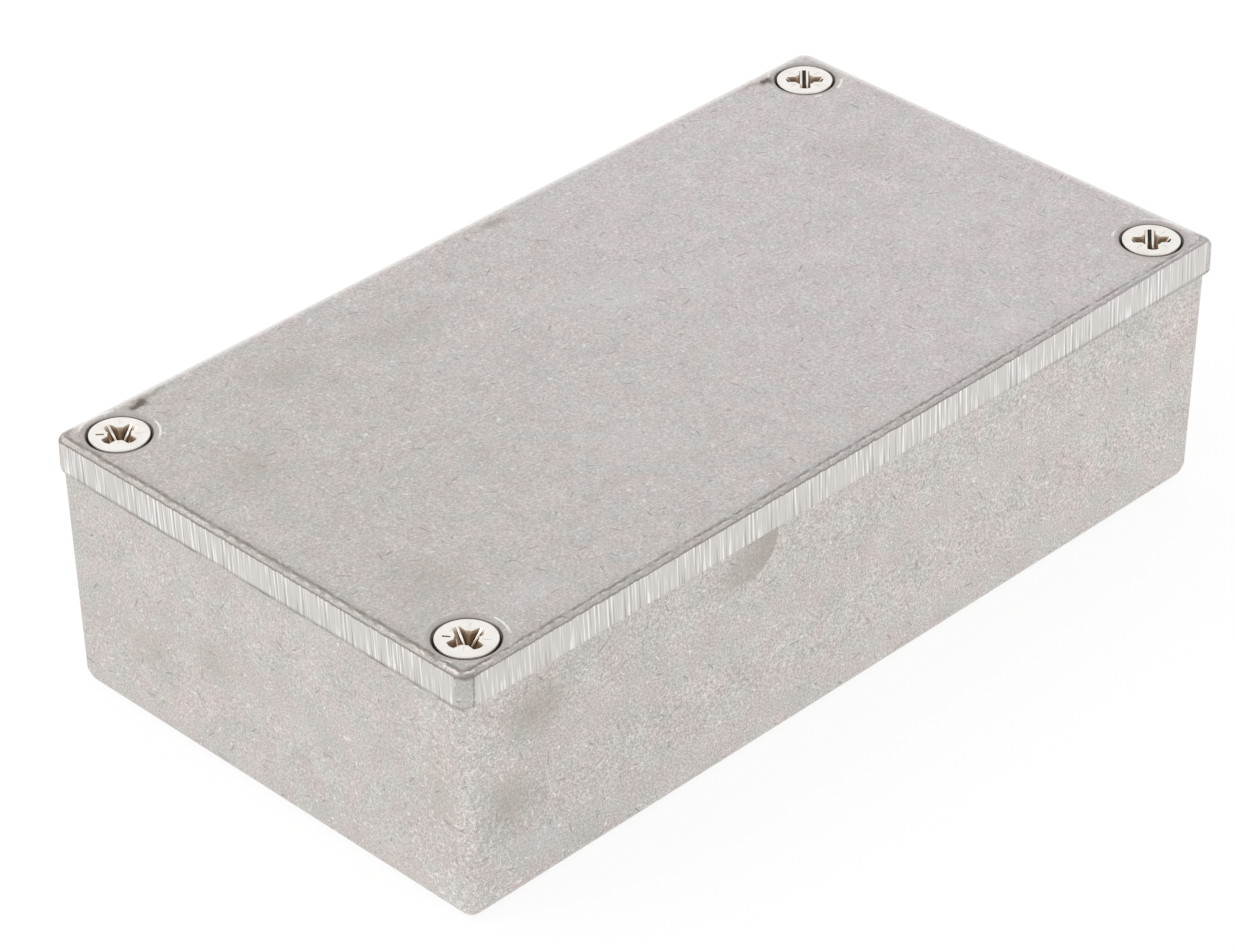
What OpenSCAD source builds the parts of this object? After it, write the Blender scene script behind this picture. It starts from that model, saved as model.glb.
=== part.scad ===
// Die cast aluminium enclosure: a drafted open box, a screwed-down lid with
// a locating lip, and four countersunk screws. Millimetres. The origin is the
// centre of the underside, +X runs along the length and +Z points up.

/* [Lid] */
// Length of the lid over its linished ends
lid_length = 112.4; // [90:0.1:140]
// Width of the lid over its linished sides
lid_width = 60.5; // [50:0.1:80]
// Height of the lid's edge, from the joint to the top face
lid_height = 4.1; // [4:0.1:6]
// Thickness of the lid's plate inside the lip
lid_plate = 2; // [1.5:0.1:2.6]
// Radius of the cast edge round the top face
lid_edge_radius = 0.8; // [0.5:0.1:1.2]
// Radius of the lid's cast vertical corners
lid_corner_radius = 1.7; // [1.5:0.1:3]
// Bevel round the foot of the lid's edge
lid_foot_bevel = 0.4; // [0.3:0.1:1]
// Depth that linishing takes off each side of the casting
linish_depth = 0.1; // [0.05:0.05:0.3]

/* [Locating lip] */
// How far the lip reaches down into the box
lip_depth = 1.5; // [1:0.1:2.5]
// Thickness of the lip
lip_wall = 1.5; // [1.2:0.1:2]
// Clearance between the lip and the walls and bosses of the box
lip_clearance = 0.3; // [0.2:0.05:0.5]
// Chamfer on the lip's outer foot, which leads it into the box
lip_lead = 0.4; // [0.2:0.1:0.6]

/* [Box] */
// Height of the box, from the underside to the joint
box_height = 26.9; // [22:0.1:40]
// How far the rim of the box stands back from the lid's linished sides
rim_setback = 0.3; // [0.1:0.05:0.6]
// Thickness of the walls at the rim
wall = 2; // [1.8:0.1:3]
// Thickness of the floor
floor_thickness = 2.2; // [1.8:0.1:3]
// Draft angle of the walls, inside and outside
draft_angle = 1; // [0.5:0.1:1.5]
// Radius of the outer edge round the underside
base_edge_radius = 2; // [1.5:0.1:3]
// Radius of the outer vertical corners
corner_radius = 1.3; // [1:0.1:1.5]
// Radius of the inner edge round the floor
floor_edge_radius = 1.5; // [1:0.1:2]

/* [Screw bosses] */
// Distance of each screw from the lid's end
screw_inset_x = 4.9; // [4.7:0.1:6]
// Distance of each screw from the lid's side
screw_inset_y = 4.7; // [4.6:0.1:6]
// Radius of a boss at the joint
boss_radius = 3.6; // [3.3:0.1:4.2]
// Depth of a tapped hole below the joint
tapped_depth = 12; // [10:0.5:16]
// Depth of the countersink at the mouth of a tapped hole
tapped_mouth = 0.4; // [0.2:0.1:0.6]

/* [Screws] */
// Nominal diameter of the thread
thread_diameter = 3.5; // [3:0.1:4]
// Length of a screw, head included
screw_length = 12; // [10:0.5:14]
// Diameter of a screw's head
head_diameter = 6.4; // [5.8:0.1:7]
// Height of the straight rim of a head
head_rim = 0.25; // [0.15:0.05:0.4]
// Gap round a head in its countersink
head_clearance = 0.22; // [0.15:0.01:0.3]
// Gap round the thread in the lid and in the boss
thread_clearance = 0.15; // [0.1:0.05:0.25]
// Depth of the heads below the lid's top face
head_sink = 0.05; // [0:0.05:0.2]
// Chamfer at the point of a screw
point_chamfer = 0.5; // [0.3:0.1:0.8]
// Depth of the cross recess
recess_depth = 1.9; // [1.5:0.1:2.1]
// Span of the cross recess across the top of a head
recess_span = 4.1; // [3.6:0.1:4.6]
// Span of the cross recess at its bottom
recess_tip = 1.5; // [1.2:0.1:1.8]
// Width of each arm of the cross recess
recess_arm = 1.1; // [0.8:0.1:1.2]
// Radius of the recess's round core across the top of a head
recess_core = 1.3; // [1.1:0.1:1.5]
// Length of each mark between the arms of the cross
mark_length = 1; // [0.8:0.1:1.2]
// Width of each mark
mark_width = 0.2; // [0.15:0.01:0.3]
// Depth of each mark
mark_depth = 0.15; // [0.1:0.05:0.25]

/* [Ejector marks] */
// Diameter of the ejector pin marks inside the castings
ejector_diameter = 5; // [3:0.5:6]
// Depth of the ejector pin marks
ejector_depth = 0.2; // [0.1:0.05:0.3]
// Distance of the ejector pin marks from the inner walls
ejector_inset = 14; // [12:1:20]

/* [Hidden] */
$fn = 48;
hull_facets = 32;
overshoot = 1;
corners = [for (x = [-1, 1], y = [-1, 1]) [x, y]];
total_height = box_height + lid_height;
rim_length = lid_length - 2 * rim_setback;
rim_width = lid_width - 2 * rim_setback;
base_shrink = box_height * tan(draft_angle);
inner_length = rim_length - 2 * wall;
inner_width = rim_width - 2 * wall;
inner_shrink = (box_height - floor_thickness) * tan(draft_angle);
screw_x = lid_length / 2 - screw_inset_x;
screw_y = lid_width / 2 - screw_inset_y;
notch_radius = boss_radius + lip_clearance;
lip_foot = box_height - lip_depth;
lid_pocket_top = total_height - lid_plate;
thread_radius = thread_diameter / 2;
thread_hole_radius = thread_radius + thread_clearance;
head_radius = head_diameter / 2;
head_cone = head_radius - thread_radius;
head_height = head_rim + head_cone;
seat_radius = head_radius + head_clearance;
seat_cone = seat_radius - thread_hole_radius;
screw_top = total_height - head_sink;
inner_corner_radius = 1;
rim_land = 0.5;
// The turn at which each screw came home, in the order of corners.
screw_turns = [-8, 3, 45, 45];

// A post whose top edge is rounded and whose foot is bevelled, at one corner of the lid.
module lid_corner_post() {
    edge_centre = lid_corner_radius - lid_edge_radius;
    rotate_extrude($fn = hull_facets) {
        difference() {
            union() {
                square([edge_centre, lid_height]);
                square([lid_corner_radius, lid_height - lid_edge_radius]);
                translate([edge_centre, lid_height - lid_edge_radius]) intersection() {
                    circle(lid_edge_radius, $fn = hull_facets);
                    square(lid_edge_radius);
                }
            }
            translate([lid_corner_radius, 0]) rotate(45) square(lid_foot_bevel * sqrt(2), center = true);
        }
    }
}

// The lid as cast, before its four sides are linished flat.
module lid_casting() {
    reach_x = lid_length / 2 + linish_depth - lid_corner_radius;
    reach_y = lid_width / 2 + linish_depth - lid_corner_radius;
    hull() for (c = corners) translate([c.x * reach_x, c.y * reach_y, box_height]) lid_corner_post();
}

// Outline that keeps clear of the walls and of the corner bosses, drawn in by inset.
module lip_outline(inset) {
    radius = notch_radius + inset;
    half_x = inner_length / 2 - lip_clearance - inset;
    half_y = inner_width / 2 - lip_clearance - inset;
    difference() {
        square([2 * half_x, 2 * half_y], center = true);
        for (c = corners) translate([c.x * screw_x, c.y * screw_y]) {
            circle(radius);
            translate([c.x * radius, 0]) square(2 * radius, center = true);
            translate([0, c.y * radius]) square(2 * radius, center = true);
        }
    }
}

// The lip that drops inside the walls, with a lead-in round its foot.
module locating_lip() {
    translate([0, 0, lip_foot + lip_lead])
        linear_extrude(lip_depth - lip_lead + overshoot) lip_outline(0);
    translate([0, 0, lip_foot]) linear_extrude(lip_lead) lip_outline(lip_lead);
}

// A countersunk hole through the lid, the shape of the screw with its clearances.
module lid_hole() {
    seat_top = screw_top - head_rim;
    translate([0, 0, box_height - overshoot]) cylinder(h = lid_height, r = thread_hole_radius);
    translate([0, 0, seat_top - seat_cone])
        cylinder(h = seat_cone, r1 = thread_hole_radius, r2 = seat_radius);
    translate([0, 0, seat_top]) cylinder(h = head_rim + head_sink + overshoot, r = seat_radius);
}

// The lower half of a ball of the given radius, its pole at full depth.
module ball_foot(radius) {
    rotate_extrude($fn = hull_facets) intersection() {
        circle(radius, $fn = hull_facets);
        translate([0, -radius]) square(radius);
    }
}

// The outer form of the box: drafted walls on a rounded base.
module box_outer() {
    hull() {
        for (c = corners) {
            translate([
                c.x * (rim_length / 2 - corner_radius),
                c.y * (rim_width / 2 - corner_radius),
                box_height - rim_land
            ]) cylinder(h = rim_land, r = corner_radius, $fn = hull_facets);
            translate([
                c.x * (rim_length / 2 - base_shrink - base_edge_radius),
                c.y * (rim_width / 2 - base_shrink - base_edge_radius),
                base_edge_radius
            ]) ball_foot(base_edge_radius);
        }
    }
}

// The hollow of the box: drafted like the outside, with a rounded edge round the floor.
module box_hollow() {
    floor_reach = inner_shrink + floor_edge_radius;
    hull() {
        for (c = corners) {
            translate([
                c.x * (inner_length / 2 - inner_corner_radius),
                c.y * (inner_width / 2 - inner_corner_radius),
                box_height
            ]) cylinder(h = overshoot, r = inner_corner_radius, $fn = hull_facets);
            translate([
                c.x * (inner_length / 2 - floor_reach),
                c.y * (inner_width / 2 - floor_reach),
                floor_thickness + floor_edge_radius
            ]) ball_foot(floor_edge_radius);
        }
    }
}

// A drafted boss that fills one corner of the hollow, facing corner c.
module corner_boss(c) {
    hull() {
        for (x = [0, wall], y = [0, wall]) {
            translate([c.x * (screw_x + x), c.y * (screw_y + y), floor_thickness - ejector_depth])
                cylinder(
                    h = box_height - floor_thickness + ejector_depth,
                    r1 = boss_radius + inner_shrink,
                    r2 = boss_radius,
                    $fn = hull_facets
                );
        }
    }
}

// A tapped hole down the middle of a boss, with a countersunk mouth.
module tapped_hole() {
    translate([0, 0, box_height - tapped_depth])
        cylinder(h = tapped_depth + overshoot, r = thread_hole_radius);
    translate([0, 0, box_height - tapped_mouth])
        cylinder(h = tapped_mouth + overshoot, r1 = thread_hole_radius,
            r2 = thread_hole_radius + tapped_mouth + overshoot);
}

// The round marks that ejector pins leave inside a casting, sunk down or up from height z.
module ejector_marks(z) {
    for (c = corners)
        translate([c.x * (inner_length / 2 - ejector_inset), c.y * (inner_width / 2 - ejector_inset), z])
            cylinder(h = ejector_depth + overshoot, d = ejector_diameter);
}

// The cross recess of a screw: two tapered slots across each other, a core and four marks.
module cross_recess() {
    half_top = recess_span / 2;
    half_tip = recess_tip / 2;
    for (turn = [0, 90]) rotate(turn) rotate([90, 0, 0])
        linear_extrude(recess_arm, center = true) polygon([
            [-half_top, overshoot], [half_top, overshoot], [half_top, 0],
            [half_tip, -recess_depth], [-half_tip, -recess_depth], [-half_top, 0]
        ]);
    translate([0, 0, -recess_depth]) cylinder(h = recess_depth, r1 = half_tip, r2 = recess_core);
    cylinder(h = overshoot, r = recess_core);
    for (turn = [45:90:315]) rotate(turn)
        translate([recess_core - mark_width, -mark_width / 2, -mark_depth])
            cube([mark_length + mark_width, mark_width, mark_depth + overshoot]);
}

// One countersunk screw, its top at the origin.
module countersunk_screw() {
    difference() {
        union() {
            translate([0, 0, -head_rim]) cylinder(h = head_rim, r = head_radius);
            translate([0, 0, -head_height]) cylinder(h = head_cone, r1 = thread_radius, r2 = head_radius);
            translate([0, 0, point_chamfer - screw_length])
                cylinder(h = screw_length - point_chamfer - head_height, r = thread_radius);
            translate([0, 0, -screw_length])
                cylinder(h = point_chamfer, r1 = thread_radius - point_chamfer, r2 = thread_radius);
        }
        cross_recess();
    }
}

module box() {
    color([0.78, 0.77, 0.75]) difference() {
        box_outer();
        difference() {
            box_hollow();
            for (c = corners) corner_boss(c);
        }
        for (c = corners) translate([c.x * screw_x, c.y * screw_y]) tapped_hole();
        ejector_marks(floor_thickness - ejector_depth);
    }
}

module lid() {
    color([0.76, 0.75, 0.75]) difference() {
        union() {
            intersection() {
                lid_casting();
                translate([-lid_length / 2, -lid_width / 2, box_height])
                    cube([lid_length, lid_width, lid_height]);
            }
            locating_lip();
        }
        translate([0, 0, lip_foot - overshoot])
            linear_extrude(lid_pocket_top - lip_foot + overshoot) lip_outline(lip_wall);
        for (c = corners) translate([c.x * screw_x, c.y * screw_y]) lid_hole();
        ejector_marks(lid_pocket_top - overshoot);
    }
}

module lid_screws() {
    color([0.9, 0.88, 0.84]) for (i = [0:len(corners) - 1])
        translate([corners[i].x * screw_x, corners[i].y * screw_y, screw_top])
            rotate(screw_turns[i]) countersunk_screw();
}

box();
lid();
lid_screws();
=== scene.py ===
"""Looks of a die cast aluminium box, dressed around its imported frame.

The frame gives every size and place. Two castings and four screws are modelled
here in fine detail, each stands for its plain solid, and each gets its finish.
Lengths are in metres, written as millimetres times MM. Those of the finishes are
in plain millimetres, because their patterns read the place in millimetres.
"""

from __future__ import annotations

import logging
import math
from collections.abc import Callable, Iterator, Sequence
from contextlib import contextmanager
from dataclasses import dataclass
from enum import Enum
from typing import Any

import bmesh
import bpy
from mathutils import Matrix, Vector

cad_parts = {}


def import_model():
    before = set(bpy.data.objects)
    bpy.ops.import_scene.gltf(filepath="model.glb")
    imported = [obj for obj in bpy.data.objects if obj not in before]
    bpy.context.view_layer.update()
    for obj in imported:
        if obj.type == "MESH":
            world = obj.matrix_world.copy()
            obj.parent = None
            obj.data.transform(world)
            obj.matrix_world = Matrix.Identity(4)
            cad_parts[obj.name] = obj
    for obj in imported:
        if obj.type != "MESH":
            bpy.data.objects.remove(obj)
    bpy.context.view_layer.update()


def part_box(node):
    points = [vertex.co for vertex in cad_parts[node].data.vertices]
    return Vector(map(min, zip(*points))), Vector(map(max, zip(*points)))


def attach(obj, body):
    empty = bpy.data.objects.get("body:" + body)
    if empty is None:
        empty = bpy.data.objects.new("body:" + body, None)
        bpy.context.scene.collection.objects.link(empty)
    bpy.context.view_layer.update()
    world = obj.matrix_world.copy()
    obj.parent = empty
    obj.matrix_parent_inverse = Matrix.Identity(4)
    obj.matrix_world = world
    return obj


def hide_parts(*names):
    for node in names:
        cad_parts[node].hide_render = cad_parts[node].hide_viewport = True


MM = 0.001
PER_MM = 1000.0
LOG = logging.getLogger("die_cast_box")
CORNERS = [(x, y) for x in (-1, 1) for y in (-1, 1)]
WHITE = (1.0, 1.0, 1.0, 1.0)

EdgeRule = Callable[[Vector, Vector], bool]
FaceRule = Callable[[Vector, Vector], bool]


# ---------------------------------------------------------------------------
# Bench work: the moves that every piece is modelled with
# ---------------------------------------------------------------------------


class Join(Enum):
    """How one solid is worked into another."""

    CUT = "DIFFERENCE"
    FUSE = "UNION"


def take(obj: bpy.types.Object) -> None:
    """Selects one object alone and makes it active.

    Args:
        obj: The object to work on.
    """
    bpy.ops.object.select_all(action="DESELECT")
    obj.select_set(True)
    bpy.context.view_layer.objects.active = obj


@contextmanager
def editing(obj: bpy.types.Object) -> Iterator[None]:
    """Opens an object in edit mode with nothing selected, and closes it after.

    Args:
        obj: The mesh object to edit.
    """
    take(obj)
    bpy.ops.object.mode_set(mode="EDIT")
    bpy.ops.mesh.select_all(action="DESELECT")
    yield
    bpy.ops.object.mode_set(mode="OBJECT")


def pick_faces(obj: bpy.types.Object, rule: FaceRule) -> int:
    """Selects the faces that a rule on centre and normal accepts.

    Args:
        obj: The mesh object, in edit mode.
        rule: Takes a face's centre and normal, and says whether to select it.

    Returns:
        The number of faces selected.
    """
    bpy.ops.mesh.select_mode(type="FACE")
    bm = bmesh.from_edit_mesh(obj.data)
    for face in bm.faces:
        face.select_set(rule(face.calc_center_median(), face.normal))
    bm.select_flush_mode()
    bmesh.update_edit_mesh(obj.data)
    return sum(face.select for face in bm.faces)


def pick_edges(obj: bpy.types.Object, rule: EdgeRule) -> int:
    """Selects the edges that a rule on their two ends accepts.

    Args:
        obj: The mesh object, in edit mode.
        rule: Takes an edge's two ends, and says whether to select it.

    Returns:
        The number of edges selected.
    """
    bpy.ops.mesh.select_mode(type="EDGE")
    bm = bmesh.from_edit_mesh(obj.data)
    for edge in bm.edges:
        edge.select_set(False)
    for edge in bm.edges:
        if rule(edge.verts[0].co, edge.verts[1].co):
            edge.select_set(True)
    bmesh.update_edit_mesh(obj.data)
    return sum(edge.select for edge in bm.edges)


def add_block(name: str, low: Sequence[float], high: Sequence[float]) -> bpy.types.Object:
    """Adds a block between two corners.

    Args:
        name: The object's name.
        low: The block's lowest corner.
        high: The block's highest corner.

    Returns:
        The new object, with its place in its mesh.
    """
    centre = [(a + b) / 2 for a, b in zip(low, high)]
    size = [b - a for a, b in zip(low, high)]
    bpy.ops.mesh.primitive_cube_add(size=1, location=centre, scale=size)
    block = bpy.context.active_object
    block.name = name
    bpy.ops.object.transform_apply(location=True, rotation=True, scale=True)
    return block


def add_turning(name: str, rings: Sequence[tuple[float, float]], facets: int) -> bpy.types.Object:
    """Adds a turned solid by extruding a disc from ring to ring and closing it.

    Args:
        name: The object's name.
        rings: Radius and height of each ring, from the first disc to the last.
        facets: The number of sides.

    Returns:
        The closed solid about the Z axis.
    """
    radius, height = rings[0]
    bpy.ops.mesh.primitive_circle_add(
        vertices=facets, radius=radius, fill_type="NGON", location=(0, 0, height)
    )
    solid = bpy.context.active_object
    solid.name = name
    bpy.ops.object.transform_apply(location=True, rotation=True, scale=True)
    with editing(solid):
        bpy.ops.mesh.select_all(action="SELECT")
        for next_radius, next_height in rings[1:]:
            bpy.ops.mesh.extrude_region_move(
                TRANSFORM_OT_translate={"value": (0, 0, next_height - height)}
            )
            ratio = next_radius / radius
            bpy.ops.transform.resize(value=(ratio, ratio, 1), center_override=(0, 0, next_height))
            radius, height = next_radius, next_height
        bpy.ops.mesh.select_all(action="SELECT")
        bpy.ops.mesh.normals_make_consistent(inside=False)
    return solid


def squeeze_face(obj: bpy.types.Object, normal: Vector, ratio: Sequence[float]) -> None:
    """Scales the flat end of a block about the block's own axis, to give it draft.

    Args:
        obj: The block.
        normal: The end's outward normal.
        ratio: The scale along X, Y and Z.
    """
    with editing(obj):
        pick_faces(obj, lambda centre, n: n.dot(normal) > 0.9)
        bm = bmesh.from_edit_mesh(obj.data)
        chosen = [v.co for v in bm.verts if v.select]
        middle = sum(chosen, Vector()) / len(chosen)
        bpy.ops.transform.resize(value=tuple(ratio), center_override=tuple(middle))


def round_edges(obj: bpy.types.Object, rule: EdgeRule, radius: float, segments: int = 8) -> None:
    """Rounds the edges that a rule accepts.

    Args:
        obj: The mesh object.
        rule: Takes an edge's two ends, and says whether to round it.
        radius: The width of the rounding on each side of the edge.
        segments: The number of facets across the rounding.
    """
    with editing(obj):
        if not pick_edges(obj, rule):
            raise ValueError(f"no edge of {obj.name} to round")
        bpy.ops.mesh.bevel(
            offset=radius,
            offset_type="OFFSET",
            segments=segments,
            profile=0.5,
            affect="EDGES",
            clamp_overlap=False,
        )


def apply_modifier(obj: bpy.types.Object, kind: str, **settings: Any) -> None:
    """Adds a modifier with its settings and applies it.

    Args:
        obj: The mesh object.
        kind: The modifier's type.
        **settings: Attributes of the modifier.
    """
    take(obj)
    modifier = obj.modifiers.new(kind.title(), kind)
    for key, value in settings.items():
        setattr(modifier, key, value)
    bpy.ops.object.modifier_apply(modifier=modifier.name)


def work_in(obj: bpy.types.Object, tool: bpy.types.Object, how: Join) -> None:
    """Cuts a tool out of a solid, fuses it on, or trims the solid to it.

    Args:
        obj: The solid that stays.
        tool: The solid that is used up.
        how: Cut, fuse or trim.
    """
    apply_modifier(obj, "BOOLEAN", operation=how.value, object=tool, solver="EXACT")
    bpy.data.objects.remove(tool)


def move_piece(obj: bpy.types.Object, place: Sequence[float], turn: float = 0.0) -> None:
    """Turns an object about Z and moves it, with the result kept in its mesh.

    Args:
        obj: The object, at the origin.
        place: Where its origin goes.
        turn: Degrees about Z.
    """
    take(obj)
    obj.matrix_world = Matrix.Translation(Vector(place)) @ Matrix.Rotation(math.radians(turn), 4, "Z")
    bpy.ops.object.transform_apply(location=True, rotation=True, scale=True)


def copy_piece(obj: bpy.types.Object, name: str) -> bpy.types.Object:
    """Copies an object with a mesh of its own.

    Args:
        obj: The object to copy.
        name: The copy's name.

    Returns:
        The copy.
    """
    take(obj)
    bpy.ops.object.duplicate(linked=False)
    twin = bpy.context.active_object
    twin.name = name
    twin.data.name = name
    return twin


def finish_surface(obj: bpy.types.Object, edge: float, angle: float = 32.0) -> None:
    """Breaks the sharp edges, merges doubles and smooths the shading.

    Args:
        obj: The finished form.
        edge: The width of the small rounding, or 0 for none.
        angle: Edges that turn by more degrees than this count as sharp.
    """
    with editing(obj):
        bpy.ops.mesh.select_all(action="SELECT")
        bpy.ops.mesh.remove_doubles(threshold=0.002 * MM)
        bpy.ops.mesh.dissolve_degenerate(threshold=0.001 * MM)
    if edge:
        apply_modifier(
            obj,
            "BEVEL",
            width=edge,
            segments=2,
            limit_method="ANGLE",
            angle_limit=math.radians(angle),
            use_clamp_overlap=True,
            harden_normals=False,
        )
    take(obj)
    bpy.ops.object.shade_smooth_by_angle(angle=math.radians(angle))
    apply_modifier(obj, "WEIGHTED_NORMAL", keep_sharp=True, weight=80)


def is_upright(a: Vector, b: Vector) -> bool:
    """Whether an edge stands more or less along Z."""
    run = b - a
    return abs(run.z) > 0.9 * run.length


def is_level(a: Vector, b: Vector, height: float) -> bool:
    """Whether an edge lies level at a given height."""
    slack = 0.02 * MM
    return abs(a.z - height) < slack and abs(b.z - height) < slack


# ---------------------------------------------------------------------------
# Pieces
# ---------------------------------------------------------------------------


@dataclass
class ScrewPattern:
    """Where the four screws stand, from the frame.

    Attributes:
        head_radius: Radius of a screw's head, which the outer reach includes.
    """

    head_radius: float = 3.2 * MM

    def reach(self) -> tuple[float, float]:
        """Half the spacing of the screws along X and along Y.

        Returns:
            The two half spacings.
        """
        _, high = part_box("lid_screws")
        return high.x - self.head_radius, high.y - self.head_radius

    def places(self) -> list[tuple[float, float]]:
        """The screw centres, in the order of CORNERS.

        Returns:
            X and Y of each centre.
        """
        half_x, half_y = self.reach()
        return [(x * half_x, y * half_y) for x, y in CORNERS]


@dataclass
class BoxCasting:
    """The open box: drafted walls, rounded foot, corner bosses and tapped holes."""

    wall: float = 2.0 * MM
    floor: float = 2.2 * MM
    draft_degrees: float = 1.0
    base_radius: float = 2.0 * MM
    corner_radius: float = 1.3 * MM
    inner_corner: float = 1.8 * MM
    floor_radius: float = 1.5 * MM
    boss_radius: float = 3.6 * MM
    hole_radius: float = 1.9 * MM
    hole_depth: float = 12.0 * MM
    hole_mouth: float = 0.4 * MM
    ejector_radius: float = 2.5 * MM
    ejector_depth: float = 0.2 * MM
    ejector_inset: float = 14.0 * MM
    overshoot: float = 1.0 * MM
    slack: float = 0.2 * MM
    broken_edge: float = 0.12 * MM
    facets: int = 48

    def build(self, screws: ScrewPattern) -> bpy.types.Object:
        """Models the casting.

        Args:
            screws: Where the screws stand.

        Returns:
            The box, standing for the frame's own.
        """
        low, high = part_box("box")
        box = self._outer(low, high)
        work_in(box, self._hollow(high, screws), Join.CUT)
        for x, y in screws.places():
            work_in(box, self._hole(x, y, high.z), Join.CUT)
        for x, y in CORNERS:
            work_in(box, self._ejector_mark(x, y, high), Join.CUT)
        finish_surface(box, self.broken_edge)
        return box

    def _taper(self, half: float, drop: float) -> float:
        """The ratio that draws a half width in by the draft over a drop."""
        return (half - drop * math.tan(math.radians(self.draft_degrees))) / half

    def _outer(self, low: Vector, high: Vector) -> bpy.types.Object:
        """The outside of the box as a full solid."""
        solid = add_block("box_casting", low, high)
        ratio = (self._taper(high.x, high.z), self._taper(high.y, high.z), 1)
        squeeze_face(solid, Vector((0, 0, -1)), ratio)
        with editing(solid):
            pick_edges(solid, lambda a, b: is_level(a, b, low.z))
            bpy.ops.transform.edge_bevelweight(value=1.0)
            pick_edges(solid, is_upright)
            bpy.ops.transform.edge_bevelweight(value=self.corner_radius / self.base_radius)
        apply_modifier(
            solid,
            "BEVEL",
            limit_method="WEIGHT",
            width=self.base_radius,
            segments=10,
            use_clamp_overlap=False,
        )
        return solid

    def _hollow(self, high: Vector, screws: ScrewPattern) -> bpy.types.Object:
        """The hollow of the box, its corners kept clear for the bosses."""
        half_x, half_y = high.x - self.wall, high.y - self.wall
        hollow = add_block("hollow", (-half_x, -half_y, self.floor), (half_x, half_y, high.z))
        for (x, y), (sign_x, sign_y) in zip(screws.places(), CORNERS):
            notch = corner_notch((x, y), (sign_x, sign_y), self.boss_radius, (0, high.z * 2))
            work_in(hollow, notch, Join.CUT)

        def is_outer_corner(a: Vector, b: Vector) -> bool:
            """Whether an edge is upright and lies on the hollow's outer reach."""
            on_reach = abs(abs(a.x) - half_x) < self.slack or abs(abs(a.y) - half_y) < self.slack
            return is_upright(a, b) and on_reach

        round_edges(hollow, is_outer_corner, self.inner_corner, 6)
        drop = high.z - self.floor
        squeeze_face(hollow, Vector((0, 0, -1)), (self._taper(half_x, drop), self._taper(half_y, drop), 1))
        round_edges(hollow, lambda a, b: is_level(a, b, self.floor), self.floor_radius, 6)
        with editing(hollow):
            pick_faces(hollow, lambda centre, n: n.z > 0.9)
            bpy.ops.mesh.extrude_region_move(TRANSFORM_OT_translate={"value": (0, 0, self.overshoot)})
        return hollow

    def _hole(self, x: float, y: float, rim: float) -> bpy.types.Object:
        """One tapped hole with its countersunk mouth."""
        reach = self.hole_mouth + self.overshoot
        rings = [
            (self.hole_radius, -self.hole_depth),
            (self.hole_radius, -self.hole_mouth),
            (self.hole_radius + reach, self.overshoot),
        ]
        hole = add_turning("tapped_hole", rings, self.facets)
        move_piece(hole, (x, y, rim))
        return hole

    def _ejector_mark(self, sign_x: int, sign_y: int, high: Vector) -> bpy.types.Object:
        """The shallow round mark of one ejector pin in the floor."""
        rings = [(self.ejector_radius, -self.ejector_depth), (self.ejector_radius, self.overshoot)]
        mark = add_turning("ejector_mark", rings, self.facets)
        inset = self.wall + self.ejector_inset
        move_piece(mark, (sign_x * (high.x - inset), sign_y * (high.y - inset), self.floor))
        return mark


def corner_notch(
    place: tuple[float, float], sign: tuple[int, int], radius: float, span: tuple[float, float]
) -> bpy.types.Object:
    """A corner block whose inner upright edge is rounded about a screw.

    Args:
        place: The screw's centre.
        sign: Which corner, as a sign along X and along Y.
        radius: The rounding about the screw.
        span: The block's lowest and highest Z.

    Returns:
        The block, reaching well past the walls.
    """
    past = 12 * MM
    inner = [place[i] - sign[i] * radius for i in (0, 1)]
    outer = [place[i] + sign[i] * past for i in (0, 1)]
    low = (min(inner[0], outer[0]), min(inner[1], outer[1]), span[0])
    high = (max(inner[0], outer[0]), max(inner[1], outer[1]), span[1])
    block = add_block("corner_notch", low, high)
    slack = 0.01 * MM
    round_edges(
        block,
        lambda a, b: is_upright(a, b) and abs(a.x - inner[0]) < slack and abs(a.y - inner[1]) < slack,
        radius,
        12,
    )
    return block


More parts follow.
